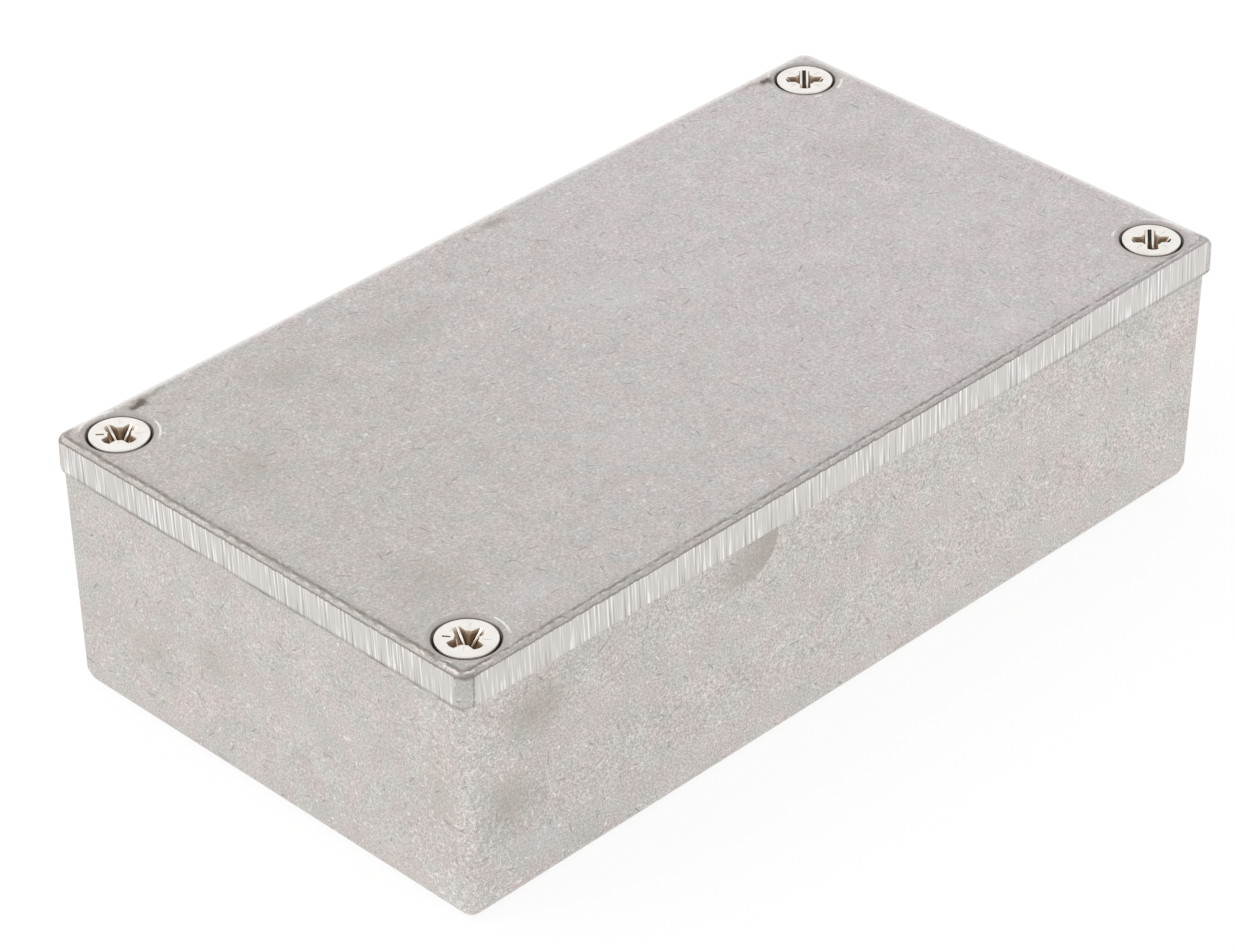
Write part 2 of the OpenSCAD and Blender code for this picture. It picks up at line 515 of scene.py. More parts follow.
@dataclass
class LidCasting:
    """The lid: cast form with linished sides, a locating lip and countersunk holes."""

    linish: float = 0.1 * MM
    corner_radius: float = 1.7 * MM
    edge_radius: float = 0.8 * MM
    foot_radius: float = 0.4 * MM
    bow: float = 0.45 * MM
    bow_start: float = 20.0 * MM
    plate: float = 2.0 * MM
    lip_depth: float = 1.5 * MM
    lip_wall: float = 1.5 * MM
    lip_clearance: float = 0.3 * MM
    lip_lead: float = 0.4 * MM
    wall: float = 2.0 * MM
    boss_radius: float = 3.6 * MM
    seat_radius: float = 3.45 * MM
    hole_radius: float = 1.9 * MM
    seat_rim: float = 0.3 * MM
    dish_radius: float = 4.1 * MM
    dish_depth: float = 0.11 * MM
    seat_round: float = 0.12 * MM
    pocket_radius: float = 0.8 * MM
    ejector_radius: float = 2.5 * MM
    ejector_depth: float = 0.2 * MM
    ejector_inset: float = 14.0 * MM
    overshoot: float = 1.0 * MM
    broken_edge: float = 0.06 * MM
    sharp_angle: float = 38.0
    facets: int = 48
    hole_facets: int = 64

    def build(self, screws: ScrewPattern) -> bpy.types.Object:
        """Models the casting.

        Args:
            screws: Where the screws stand.

        Returns:
            The lid, standing for the frame's own.
        """
        low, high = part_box("lid")
        joint = low.z + self.lip_depth
        lid = self._cast_form(high, joint)
        self._linish_sides(lid, high)
        work_in(lid, self._lip(joint, screws), Join.FUSE)
        work_in(lid, self._pocket(joint, high.z, screws), Join.CUT)
        for x, y in screws.places():
            work_in(lid, self._hole(x, y, joint, high.z), Join.CUT)
        for x, y in CORNERS:
            work_in(lid, self._ejector_mark(x, y, high.z), Join.CUT)
        finish_surface(lid, self.broken_edge, self.sharp_angle)
        return lid

    def _cast_form(self, high: Vector, joint: float) -> bpy.types.Object:
        """The lid's block as it leaves the die, with its corners and edges rounded."""
        half_x, half_y = high.x + self.linish, high.y + self.linish
        lid = add_block("lid_casting", (-half_x, -half_y, joint), (half_x, half_y, high.z))
        round_edges(lid, is_upright, self.corner_radius, 14)
        round_edges(lid, lambda a, b: is_level(a, b, high.z), self.edge_radius, 8)
        round_edges(lid, lambda a, b: is_level(a, b, joint), self.foot_radius, 4)
        self._bow_side(lid)
        return lid

    def _bow_side(self, lid: bpy.types.Object) -> None:
        """Swells one long side towards its end, so that its land climbs the rounded edge there."""
        with editing(lid):
            bpy.ops.mesh.select_all(action="SELECT")
            bpy.ops.mesh.bisect(plane_co=(self.bow_start, 0, 0), plane_no=(1, 0, 0), threshold=1e-7)
            bpy.ops.mesh.select_mode(type="VERT")
            bm = bmesh.from_edit_mesh(lid.data)
            for vertex in bm.verts:
                vertex.select_set(vertex.co.x > self.bow_start + MM and vertex.co.y < 0)
            bm.select_flush(True)
            bmesh.update_edit_mesh(lid.data)
            bpy.ops.transform.translate(value=(0, -self.bow, 0))

    def _linish_sides(self, lid: bpy.types.Object, high: Vector) -> None:
        """Takes the four sides of the cast form down to flat lands."""
        for normal in (Vector((1, 0, 0)), Vector((-1, 0, 0)), Vector((0, 1, 0)), Vector((0, -1, 0))):
            land = Vector((normal.x * high.x, normal.y * high.y, 0))
            with editing(lid):
                bpy.ops.mesh.select_all(action="SELECT")
                bpy.ops.mesh.bisect(
                    plane_co=land, plane_no=normal, use_fill=True, clear_outer=True, threshold=1e-7
                )

    def _ring_block(
        self, name: str, span: tuple[float, float], inset: float, screws: ScrewPattern
    ) -> bpy.types.Object:
        """A block that follows the inside of the walls and keeps clear of the bosses."""
        _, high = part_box("box")
        gap = self.wall + self.lip_clearance + inset
        half_x, half_y = high.x - gap, high.y - gap
        block = add_block(name, (-half_x, -half_y, span[0]), (half_x, half_y, span[1]))
        radius = self.boss_radius + self.lip_clearance + inset
        for place, sign in zip(screws.places(), CORNERS):
            notch = corner_notch(place, sign, radius, (span[0] - self.overshoot, span[1] + self.overshoot))
            work_in(block, notch, Join.CUT)
        return block

    def _lip(self, joint: float, screws: ScrewPattern) -> bpy.types.Object:
        """The locating lip as a full block, its foot bevelled to lead it in."""
        foot = joint - self.lip_depth
        lip = self._ring_block("lip", (foot, joint + self.overshoot), 0, screws)
        round_edges(lip, lambda a, b: is_level(a, b, foot), self.lip_lead, 3)
        return lip

    def _pocket(self, joint: float, top: float, screws: ScrewPattern) -> bpy.types.Object:
        """The hollow inside the lip, up to the underside of the plate."""
        ceiling = top - self.plate
        span = (joint - self.lip_depth - self.overshoot, ceiling)
        pocket = self._ring_block("pocket", span, self.lip_wall, screws)
        round_edges(pocket, lambda a, b: is_level(a, b, ceiling), self.pocket_radius, 4)
        return pocket

    def _hole(self, x: float, y: float, joint: float, top: float) -> bpy.types.Object:
        """One countersunk screw hole through the lid."""
        seat = top - self.seat_rim
        rings = [
            (self.hole_radius, joint - self.overshoot),
            (self.hole_radius, seat - (self.seat_radius - self.hole_radius)),
            (self.seat_radius, seat),
            (self.seat_radius, top - self.dish_depth - self.seat_round),
            (self.seat_radius + 0.3 * self.seat_round, top - self.dish_depth - 0.3 * self.seat_round),
            (self.seat_radius + self.seat_round, top - self.dish_depth),
            (2 * self.dish_radius - self.seat_radius - self.seat_round, top + self.dish_depth),
        ]
        hole = add_turning("screw_hole", rings, self.hole_facets)
        move_piece(hole, (x, y, 0))
        return hole

    def _ejector_mark(self, sign_x: int, sign_y: int, top: float) -> bpy.types.Object:
        """The shallow round mark of one ejector pin under the plate."""
        _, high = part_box("box")
        rings = [(self.ejector_radius, -self.overshoot), (self.ejector_radius, self.ejector_depth)]
        mark = add_turning("ejector_mark", rings, self.facets)
        inset = self.wall + self.ejector_inset
        place = (sign_x * (high.x - inset), sign_y * (high.y - inset), top - self.plate)
        move_piece(mark, place)
        return mark


class FaceTone(Enum):
    """How dark the faces of one cut are painted, as a share of the darkest: brown patina in the recess,
    near-black painted shade in the deep grooves, and a polished tone that is partly painted highlight.
    """

    BRIGHT = 0.0
    POLISHED = 0.1
    BROWN = 0.5
    BLACK = 1.0


@dataclass
class Screw:
    """A countersunk machine screw with a cross recess and four marks between its arms.

    Each arm of the recess has two bright ribs down its sloping floor, with a narrow
    dark groove between them and a channel on the outer side of each.
    """

    head_radius: float = 3.2 * MM
    head_rim: float = 0.25 * MM
    rim_round: float = 0.14 * MM
    thread_radius: float = 1.75 * MM
    root_radius: float = 1.4 * MM
    pitch: float = 0.6 * MM
    length: float = 12.0 * MM
    point: float = 0.5 * MM
    recess_depth: float = 1.9 * MM
    arm_reach: float = 2.08 * MM
    arm_tip: float = 0.62 * MM
    arm_half: float = 0.60 * MM
    arm_round: float = 0.32 * MM
    rib_inner: float = 0.22 * MM
    rib_outer: float = 0.47 * MM
    channel_round: float = 0.12 * MM
    channel_tip: float = 0.95 * MM
    groove_tip: float = 1.15 * MM
    core_radius: float = 1.22 * MM
    core_tip: float = 0.85 * MM
    lip_round: float = 0.09 * MM
    mark_turn: int | None = 135
    mark_start: float = 1.55 * MM
    mark_end: float = 2.4 * MM
    mark_width: float = 0.26 * MM
    mark_depth: float = 0.30 * MM
    faint_share: float = 0.3
    overshoot: float = 0.3 * MM
    slack: float = 0.01 * MM
    thread_foot: float = 0.1 * MM
    thread_share: float = 0.42
    core_dimple: float = 0.25 * MM
    core_shoulder: float = 0.05 * MM
    broken_edge: float = 0.03 * MM
    sharp_angle: float = 30.0
    head_facets: int = 64
    core_facets: int = 40
    thread_steps: int = 32

    def build(self) -> bpy.types.Object:
        """Models the screw about the origin, its top face at height 0.

        Returns:
            The screw, with the tones of its faces (patina, painted shade and painted highlight) kept as an
            attribute of its faces.
        """
        tags = {level: bpy.data.materials.new(level.name.lower()) for level in FaceTone}
        screw = self._blank()
        self._tag(screw, tags, FaceTone.BRIGHT)
        work_in(screw, self._tag(self._core(), tags, FaceTone.BROWN), Join.CUT)
        for turn in (0, 90, 180, 270):
            for tool in self._arm(tags):
                move_piece(tool, (0, 0, 0), turn)
                work_in(screw, tool, Join.CUT)
        for turn in (45, 135, 225, 315):
            level = FaceTone.BROWN if turn == self.mark_turn else FaceTone.BRIGHT
            work_in(screw, self._tag(self._mark(turn), tags, level), Join.CUT)
        self._round_lip(screw, list(tags).index(FaceTone.POLISHED))
        work_in(screw, self._tag(self._thread(), tags, FaceTone.BRIGHT), Join.FUSE)
        finish_surface(screw, self.broken_edge, self.sharp_angle)
        self._keep_face_tone(screw, tags)
        return screw

    def _tag(
        self, obj: bpy.types.Object, tags: dict[FaceTone, bpy.types.Material], level: FaceTone
    ) -> bpy.types.Object:
        """Marks all faces of a tool with one level of tarnish."""
        obj.data.materials.clear()
        for tag in tags.values():
            obj.data.materials.append(tag)
        place = list(tags).index(level)
        for face in obj.data.polygons:
            face.material_index = place
        return obj

    def _keep_face_tone(self, screw: bpy.types.Object, tags: dict[FaceTone, bpy.types.Material]) -> None:
        """Turns the tags into an attribute of the faces, and drops them."""
        levels = [level.value for level in tags]
        values = [levels[face.material_index] for face in screw.data.polygons]
        attribute = screw.data.attributes.new("face_tone", "FLOAT", "FACE")
        attribute.data.foreach_set("value", values)
        screw.data.materials.clear()
        for tag in tags.values():
            bpy.data.materials.remove(tag)

    def _blank(self) -> bpy.types.Object:
        """The turned blank: head, cone, shank at the thread's root, and point."""
        cone_foot = -self.head_rim - (self.head_radius - self.thread_radius)
        rings = [
            (self.head_radius - self.rim_round, 0),
            (self.head_radius - 0.3 * self.rim_round, -0.3 * self.rim_round),
            (self.head_radius, -self.rim_round),
            (self.head_radius, -self.head_rim),
            (self.thread_radius, cone_foot),
            (self.thread_radius, cone_foot - self.pitch),
            (self.root_radius, cone_foot - 1.4 * self.pitch),
            (self.root_radius, self.point - self.length),
            (self.root_radius - self.point, -self.length),
        ]
        return add_turning("screw", rings, self.head_facets)

    def _thread(self) -> bpy.types.Object:
        """The helical ridge of the thread, as a closed solid."""
        head = self.head_rim + (self.head_radius - self.thread_radius)
        turns = int((self.length - self.point - head - self.pitch) / self.pitch)
        height = self.thread_radius - self.root_radius
        bpy.ops.mesh.primitive_circle_add(vertices=3, radius=1, location=(0, 0, 0))
        ridge = bpy.context.active_object
        ridge.name = "thread"
        half_width = self.thread_share * self.pitch
        with editing(ridge):
            bm = bmesh.from_edit_mesh(ridge.data)
            foot = self.root_radius - self.thread_foot
            outline = [
                (foot, 0, -half_width),
                (self.root_radius + height, 0, 0),
                (foot, 0, half_width),
            ]
            for vertex, place in zip(bm.verts, outline):
                vertex.co = place
            bmesh.update_edit_mesh(ridge.data)
        move_piece(ridge, (0, 0, self.point - self.length + 0.5 * self.pitch))
        apply_modifier(
            ridge,
            "SCREW",
            axis="Z",
            screw_offset=self.pitch,
            angle=math.tau,
            iterations=turns,
            steps=self.thread_steps,
            render_steps=self.thread_steps,
        )
        with editing(ridge):
            bpy.ops.mesh.select_all(action="SELECT")
            bpy.ops.mesh.remove_doubles(threshold=0.0005 * MM)
            bpy.ops.mesh.select_all(action="DESELECT")
            bpy.ops.mesh.select_mode(type="EDGE")
            bpy.ops.mesh.select_non_manifold(extend=False)
            bpy.ops.mesh.edge_face_add()
            bpy.ops.mesh.select_all(action="SELECT")
            bpy.ops.mesh.normals_make_consistent(inside=False)
        return ridge

    def _arm(self, tags: dict[FaceTone, bpy.types.Material]) -> list[bpy.types.Object]:
        """The tools that cut one arm, from the screw's axis out along X."""
        slot = self._slot((-self.arm_half, self.arm_half), self.arm_tip, self.recess_depth, self.arm_round)
        tools = [self._tag(slot, tags, FaceTone.BROWN)]
        # The sloping floor at the arm's end gets the polished tone, partly real polish and partly painted
        # highlight.
        bright = list(tags).index(FaceTone.POLISHED)
        for face in slot.data.polygons:
            if face.normal.x > 0.3 and abs(face.normal.y) < 0.3:
                face.material_index = bright
        for side in (-1, 1):
            low, high = sorted((side * self.rib_outer, side * (self.arm_half - self.slack)))
            channel = self._slot((low, high), self.channel_tip, self.recess_depth + 2 * self.slack, 0)
            self._draw_in(channel)
            tools.append(self._tag(channel, tags, FaceTone.BROWN))
        groove = self._slot(
            (-self.rib_inner, self.rib_inner), self.groove_tip, self.recess_depth + 4 * self.slack, 0
        )
        # Painted shade: the narrow groove gets the darkest level and is painted near black.
        tools.append(self._tag(groove, tags, FaceTone.BLACK))
        return tools

    def _slot(
        self, sides: tuple[float, float], tip: float, depth: float, corner: float
    ) -> bpy.types.Object:
        """A slot out along X whose end slopes from the arm's reach in to a tip.

        Args:
            sides: The slot's two sides along Y.
            tip: How far out it still reaches at its foot.
            depth: How deep it goes.
            corner: The rounding of the end's upright edges, or 0 for none.

        Returns:
            The tool, its top face above the head.
        """
        reach = self._spread(self.arm_reach + depth - self.recess_depth, tip, depth)
        slot = add_block("slot", (-self.rib_inner, sides[0], -depth), (reach, sides[1], self.overshoot))
        if corner:
            round_edges(slot, lambda a, b: is_upright(a, b) and a.x > corner, corner, 5)
        with editing(slot):
            pick_faces(slot, lambda centre, n: n.z < -0.9)
            bpy.ops.transform.resize(value=(tip / reach, 1, 1), center_override=(0, 0, -depth))
        return slot

    def _draw_in(self, channel: bpy.types.Object) -> None:
        """Shortens a channel at its top, so that the arm's rounded end stays whole."""
        with editing(channel):
            pick_faces(channel, lambda centre, n: n.z > 0.9)
            bm = bmesh.from_edit_mesh(channel.data)
            for vertex in bm.verts:
                if vertex.select and vertex.co.x > 0:
                    vertex.co.x -= self.channel_round
            bmesh.update_edit_mesh(channel.data)

    def _spread(self, at_top: float, at_foot: float, depth: float) -> float:
        """How wide a taper gets above the head, from its width at the top face and at its foot."""
        return at_top + (at_top - at_foot) * self.overshoot / depth

    def _core(self) -> bpy.types.Object:
        """The round core in the middle of the recess."""
        rings = [
            (0.3 * self.core_tip, -self.recess_depth - self.core_dimple),
            (self.core_tip, -self.recess_depth - self.core_shoulder),
            (self._spread(self.core_radius, self.core_tip, self.recess_depth), self.overshoot),
        ]
        return add_turning("core", rings, self.core_facets)

    def _mark(self, turn: float) -> bpy.types.Object:
        """One shallow radial mark between two arms, struck deeper at one turn than at the others."""
        share = 1.0 if turn == self.mark_turn else self.faint_share
        half, depth = share * self.mark_width / 2, share * self.mark_depth
        mark = add_block("mark", (self.mark_start, -half, -depth), (self.mark_end, half, self.overshoot))
        move_piece(mark, (0, 0, 0), turn)
        return mark

    def _round_lip(self, screw: bpy.types.Object, polished: int) -> None:
        """Rounds the recess's edge on the top face and gives it the polished tone, partly real polish and
        partly painted highlight.
        """
        inside = 1.2 * self.arm_reach
        with editing(screw):
            pick_edges(
                screw,
                lambda a, b: is_level(a, b, 0) and a.xy.length < inside and b.xy.length < inside,
            )
            bpy.ops.mesh.bevel(
                offset=self.lip_round,
                offset_type="OFFSET",
                segments=3,
                profile=0.5,
                affect="EDGES",
                clamp_overlap=True,
                material=polished,
            )


# ---------------------------------------------------------------------------
# Finishes: shared effects as node groups, and the three materials
# ---------------------------------------------------------------------------

Socket = bpy.types.NodeSocket
Colour = tuple[float, float, float, float]


class NodeSheet:
    """Lays nodes on one tree and joins them."""

    def __init__(self, tree: bpy.types.NodeTree) -> None:
        """Starts on a tree.

        Args:
            tree: The material's or group's tree.
        """
        self.tree = tree

    def add(self, kind: str, **settings: Any) -> bpy.types.Node:
        """Adds one node with its settings.

        Args:
            kind: The node's type.
            **settings: Attributes of the node.

        Returns:
            The node.
        """
        node = self.tree.nodes.new(kind)
        for key, value in settings.items():
            setattr(node, key, value)
        return node

    def feed(self, socket: Socket, value: Any) -> None:
        """Joins a socket to another one, or sets its plain value.

        Args:
            socket: The input.
            value: A socket, a number or a tuple.
        """
        if isinstance(value, bpy.types.NodeSocket):
            self.tree.links.new(value, socket)
        else:
            socket.default_value = value

    def math(self, operation: str, *values: Any, clamp: bool = False) -> Socket:
        """A Math node on one to three values.

        Args:
            operation: The node's operation.
            *values: Sockets or numbers.
            clamp: Whether the result is kept between 0 and 1.

        Returns:
            The result.
        """
        node = self.add("ShaderNodeMath", operation=operation, use_clamp=clamp)
        for socket, value in zip(node.inputs, values):
            self.feed(socket, value)
        return node.outputs[0]

    def vector(self, operation: str, *values: Any) -> Socket:
        """A Vector Math node that gives a vector.

        Args:
            operation: The node's operation.
            *values: Sockets or triples.

        Returns:
            The vector.
        """
        node = self.add("ShaderNodeVectorMath", operation=operation)
        for socket, value in zip(node.inputs, values):
            self.feed(socket, value)
        return node.outputs["Vector"]

    def scaled(self, vector: Socket, factor: Any) -> Socket:
        """The vector times a number."""
        node = self.add("ShaderNodeVectorMath", operation="SCALE")
        self.feed(node.inputs[0], vector)
        self.feed(node.inputs["Scale"], factor)
        return node.outputs["Vector"]

    def length(self, vector: Socket) -> Socket:
        """The length of a vector."""
        node = self.add("ShaderNodeVectorMath", operation="LENGTH")
        self.feed(node.inputs[0], vector)
        return node.outputs["Value"]

    def split(self, vector: Socket) -> tuple[Socket, Socket, Socket]:
        """The three components of a vector."""
        node = self.add("ShaderNodeSeparateXYZ")
        self.feed(node.inputs[0], vector)
        return node.outputs[0], node.outputs[1], node.outputs[2]

    def join(self, x: Any, y: Any, z: Any) -> Socket:
        """A vector from its three components."""
        node = self.add("ShaderNodeCombineXYZ")
        for socket, value in zip(node.inputs, (x, y, z)):
            self.feed(socket, value)
        return node.outputs[0]

    def ramp(self, value: Any, low: float, high: float) -> Socket:
        """A smooth step from 0 at low to 1 at high, where low may be the larger.

        Args:
            value: The value to step.
            low: Where the result is 0.
            high: Where the result is 1.

        Returns:
            The stepped value.
        """
        node = self.add("ShaderNodeMapRange", interpolation_type="SMOOTHSTEP")
        self.feed(node.inputs["Value"], value)
        node.inputs["From Min"].default_value = low
        node.inputs["From Max"].default_value = high
        return node.outputs["Result"]

    def blend(self, factor: Any, first: Any, second: Any) -> Socket:
        """A mix of two colours.

        Args:
            factor: 0 for the first, 1 for the second.
            first: A colour socket or value.
            second: A colour socket or value.

        Returns:
            The mixed colour.
        """
        node = self.add("ShaderNodeMix", data_type="RGBA")
        self.feed(node.inputs[0], factor)
        self.feed(node.inputs[6], first)
        self.feed(node.inputs[7], second)
        return node.outputs[2]

    def mix_value(self, factor: Any, first: Any, second: Any) -> Socket:
        """A mix of two values.

        Args:
            factor: 0 for the first, 1 for the second.
            first: A value socket or number.
            second: A value socket or number.

        Returns:
            The mixed value.
        """
        node = self.add("ShaderNodeMix", data_type="FLOAT")
        self.feed(node.inputs[0], factor)
        self.feed(node.inputs[2], first)
        self.feed(node.inputs[3], second)
        return node.outputs[0]

    def noise(self, place: Socket, scale: float, detail: float = 2.0, twist: float = 0.0) -> Socket:
        """Noise over a place in millimetres.

        Args:
            place: The place.
            scale: Repeats per millimetre.
            detail: Octaves of finer noise.
            twist: How far the noise bends itself.

        Returns:
            A value about 0.5.
        """
        node = self.add("ShaderNodeTexNoise")
        self.feed(node.inputs["Vector"], place)
        node.inputs["Scale"].default_value = scale
        node.inputs["Detail"].default_value = detail
        node.inputs["Distortion"].default_value = twist
        return node.outputs["Fac"]

    def place_in_mm(self) -> Socket:
        """The place on the piece, in millimetres."""
        return self.scaled(self.add("ShaderNodeTexCoord").outputs["Object"], PER_MM)


class Effect:
    """A node group with named inputs and outputs, placed in each material that uses it."""

    def __init__(self, name: str, inputs: dict[str, str], outputs: dict[str, str]) -> None:
        """Opens a group and its sheet.

        Args:
            name: The group's name.
            inputs: Socket type of each input by name.
            outputs: Socket type of each output by name.
        """
        self.tree = bpy.data.node_groups.new(name, "ShaderNodeTree")
        for way, sockets in (("INPUT", inputs), ("OUTPUT", outputs)):
            for socket, kind in sockets.items():
                self.tree.interface.new_socket(socket, in_out=way, socket_type=f"NodeSocket{kind}")
        self.sheet = NodeSheet(self.tree)
        self.given = self.sheet.add("NodeGroupInput").outputs
        self._result = self.sheet.add("NodeGroupOutput").inputs

    def put_out(self, name: str, value: Any) -> None:
        """Joins a value to one of the group's outputs."""
        self.sheet.feed(self._result[name], value)

    def place(self, sheet: NodeSheet, **given: Any) -> dict[str, Socket]:
        """Places the group in a material.

        Args:
            sheet: The material's sheet.
            **given: A value or socket for each input, by name.

        Returns:
            The outputs by name.
        """
        node = sheet.add("ShaderNodeGroup", node_tree=self.tree)
        for name, value in given.items():
            sheet.feed(node.inputs[name], value)
        return {socket.name: socket for socket in node.outputs}


@dataclass(frozen=True)
class CastGrain:
    """The skin of a die casting: short bright flecks, fine grain and slow mottling."""

    fleck_scale: float = 1.5
    fleck_width: float = 0.045
    patch_scale: float = 1.7
    speck_spacing: float = 2.3
    speck_radius: float = 0.30
    bend_scale: float = 2.2
    bend: float = 0.9
    grain_scale: float = 4.4
    mottle_scale: float = 0.26
    hue_scale: float = 0.34

    def build(self) -> Effect:
        """Makes the group.

        Returns:
            The group, with Place and Density in and Flecks, Pits, Grain, Mottle, Hue and Height out.
        """
        names = dict.fromkeys(("Flecks", "Pits", "Grain", "Mottle", "Hue", "Height"), "Float")
        effect = Effect("Cast grain", {"Place": "Vector", "Density": "Float"}, names)
        sheet = effect.sheet
        place = effect.given["Place"]
        density = effect.given["Density"]
        first = self._flecks(sheet, place, density, (0, 0, 0))
        second = self._flecks(sheet, place, density, (31, 17, 53))
        flecks = sheet.math("MAXIMUM", first, second)
        flecks = sheet.math("MAXIMUM", flecks, self._specks(sheet, place, (11, 23, 7)))
        grain = sheet.noise(place, self.grain_scale, 4)
        effect.put_out("Flecks", flecks)
        effect.put_out("Grain", grain)
        effect.put_out("Mottle", sheet.noise(place, self.mottle_scale, 4, 0.3))
        effect.put_out("Hue", sheet.noise(sheet.vector("ADD", place, (71, 5, 13)), self.hue_scale, 3))
        effect.put_out("Pits", self._specks(sheet, place, (41, 3, 29)))
        effect.put_out("Height", sheet.math("MULTIPLY_ADD", flecks, 0.5, grain))
        return effect

    def _flecks(
        self, sheet: NodeSheet, place: Socket, density: Socket, shift: Sequence[float]
    ) -> Socket:
        """Thin curved lines along one level of a noise, broken up into short pieces."""
        moved = sheet.vector("ADD", place, shift)
        centred = sheet.math("SUBTRACT", sheet.noise(moved, self.fleck_scale, 2, 0.8), 0.5)
        line = sheet.ramp(sheet.math("ABSOLUTE", centred), self.fleck_width, 0.3 * self.fleck_width)
        broken = sheet.math("ADD", sheet.noise(moved, self.patch_scale, 1), density)
        patches = sheet.ramp(broken, 0.60, 0.67)
        return sheet.math("MULTIPLY", line, patches)

    def _specks(self, sheet: NodeSheet, place: Socket, shift: Sequence[float]) -> Socket:
        """Small round specks of uneven size, at most one to a cell."""
        cells = sheet.add("ShaderNodeTexVoronoi")
        moved = sheet.vector("ADD", place, shift)
        uneven = sheet.noise(moved, self.bend_scale, 2)
        uneven = sheet.math("MULTIPLY_ADD", uneven, self.bend, -self.bend / 2)
        sheet.feed(cells.inputs["Vector"], sheet.vector("ADD", moved, sheet.join(uneven, uneven, 0)))
        cells.inputs["Scale"].default_value = 1 / self.speck_spacing
        size, _, _ = sheet.split(cells.outputs["Color"])
        reach = sheet.math("MULTIPLY", size, self.speck_radius / self.speck_spacing)
        gap = sheet.math("DIVIDE", cells.outputs["Distance"], reach)
        return sheet.ramp(gap, 1.1, 0.6)


@dataclass(frozen=True)
class FaceMap:
    """Flat coordinates on whichever side of a block a point lies."""

    def build(self) -> Effect:
        """Makes the group.

        Returns:
            The group, with Place in and Along, Up and End out.
        """
        names = dict.fromkeys(("Along", "Up", "End"), "Float")
        effect = Effect("Face map", {"Place": "Vector"}, names)
        sheet = effect.sheet
        normal = sheet.vector("ABSOLUTE", sheet.add("ShaderNodeNewGeometry").outputs["Normal"])
        n_x, _, n_z = sheet.split(normal)
        x, y, z = sheet.split(effect.given["Place"])
        level = sheet.math("GREATER_THAN", n_z, 0.7)
        end = sheet.math("GREATER_THAN", n_x, 0.7)
        effect.put_out("Along", sheet.mix_value(end, x, y))
        effect.put_out("Up", sheet.mix_value(level, z, y))
        effect.put_out("End", end)
        return effect


@dataclass(frozen=True)
class Scratches:
    """Short straight scratches, at most one to a cell of an uneven net."""

    def build(self) -> Effect:
        """Makes the group.

        Returns:
            The group, with Along, Up, Spacing, Length, Width and Share in and Mask out.
        """
        inputs = dict.fromkeys(("Along", "Up", "Spacing", "Length", "Width", "Share"), "Float")
        effect = Effect("Scratches", inputs, {"Mask": "Float"})
        sheet = effect.sheet
        given = effect.given
        flat = sheet.join(given["Along"], given["Up"], 0)
        cells = sheet.add("ShaderNodeTexVoronoi", voronoi_dimensions="2D")
        sheet.feed(cells.inputs["Scale"], 1.0)
        sheet.feed(cells.inputs["Vector"], sheet.scaled(flat, sheet.math("DIVIDE", 1.0, given["Spacing"])))
        hue, share, size = sheet.split(cells.outputs["Color"])
        centre = sheet.scaled(cells.outputs["Position"], given["Spacing"])
        turned = sheet.add("ShaderNodeVectorRotate", rotation_type="Z_AXIS")
        sheet.feed(turned.inputs["Vector"], sheet.vector("SUBTRACT", flat, centre))
        sheet.feed(turned.inputs["Angle"], sheet.math("MULTIPLY_ADD", hue, 0.85 * math.pi, -0.2 * math.pi))
        run, across, _ = sheet.split(sheet.vector("ABSOLUTE", turned.outputs["Vector"]))
        reach = sheet.math("MULTIPLY", given["Length"], sheet.math("MULTIPLY_ADD", size, 0.8, 0.2))
        past_end = sheet.math("DIVIDE", run, sheet.math("MULTIPLY", reach, 0.5))
        past_side = sheet.math("DIVIDE", across, sheet.math("MULTIPLY", given["Width"], 0.5))
        inside = sheet.math("MULTIPLY", sheet.ramp(past_end, 1.0, 0.6), sheet.ramp(past_side, 1.3, 0.5))
        chosen = sheet.math("LESS_THAN", share, given["Share"])
        effect.put_out("Mask", sheet.math("MULTIPLY", inside, chosen))
        return effect


@dataclass(frozen=True)
class RimInset:
    """How far a point lies inside a rounded rectangle, seen from above."""

    def build(self) -> Effect:
        """Makes the group.

        Returns:
            The group, with Place, Half (the two half sizes) and Corner in and Inset out.
        """
        inputs = {"Place": "Vector", "Half": "Vector", "Corner": "Float"}
        effect = Effect("Rim inset", inputs, {"Inset": "Float"})
        sheet = effect.sheet
        given = effect.given
        x, y, _ = sheet.split(sheet.vector("ABSOLUTE", given["Place"]))
        half_x, half_y, _ = sheet.split(given["Half"])
        past_x = sheet.math("ADD", sheet.math("SUBTRACT", x, half_x), given["Corner"])
        past_y = sheet.math("ADD", sheet.math("SUBTRACT", y, half_y), given["Corner"])
        outside = sheet.join(sheet.math("MAXIMUM", past_x, 0), sheet.math("MAXIMUM", past_y, 0), 0)
        inside = sheet.math("MINIMUM", sheet.math("MAXIMUM", past_x, past_y), 0)
        reach = sheet.math("ADD", sheet.length(outside), inside)
        effect.put_out("Inset", sheet.math("SUBTRACT", given["Corner"], reach))
        return effect


STAIN_SCALE = 0.7
STAIN_SHIFT = 2.4
STAIN_CENTRE_FADED = 0.75


@dataclass(frozen=True)
class Smudge:
    """One stain, patch of wear or patch of painted shade on a casting.

    Attributes:
        centre: Its middle, in millimetres.
        reach: How far it goes each way, in millimetres.
        weight: How strong it is, below 0 for a lighter patch.
        core: The share of its reach over which it is at its full strength.
        wobble: How uneven its outline is.
        fade: Where along X it has faded out, as a share of its reach, or 0 for nowhere.
    """

    centre: tuple[float, float, float]
    reach: tuple[float, float, float]
    weight: float
    core: float = 0.0
    wobble: float = 1.0
    fade: float = 0.0


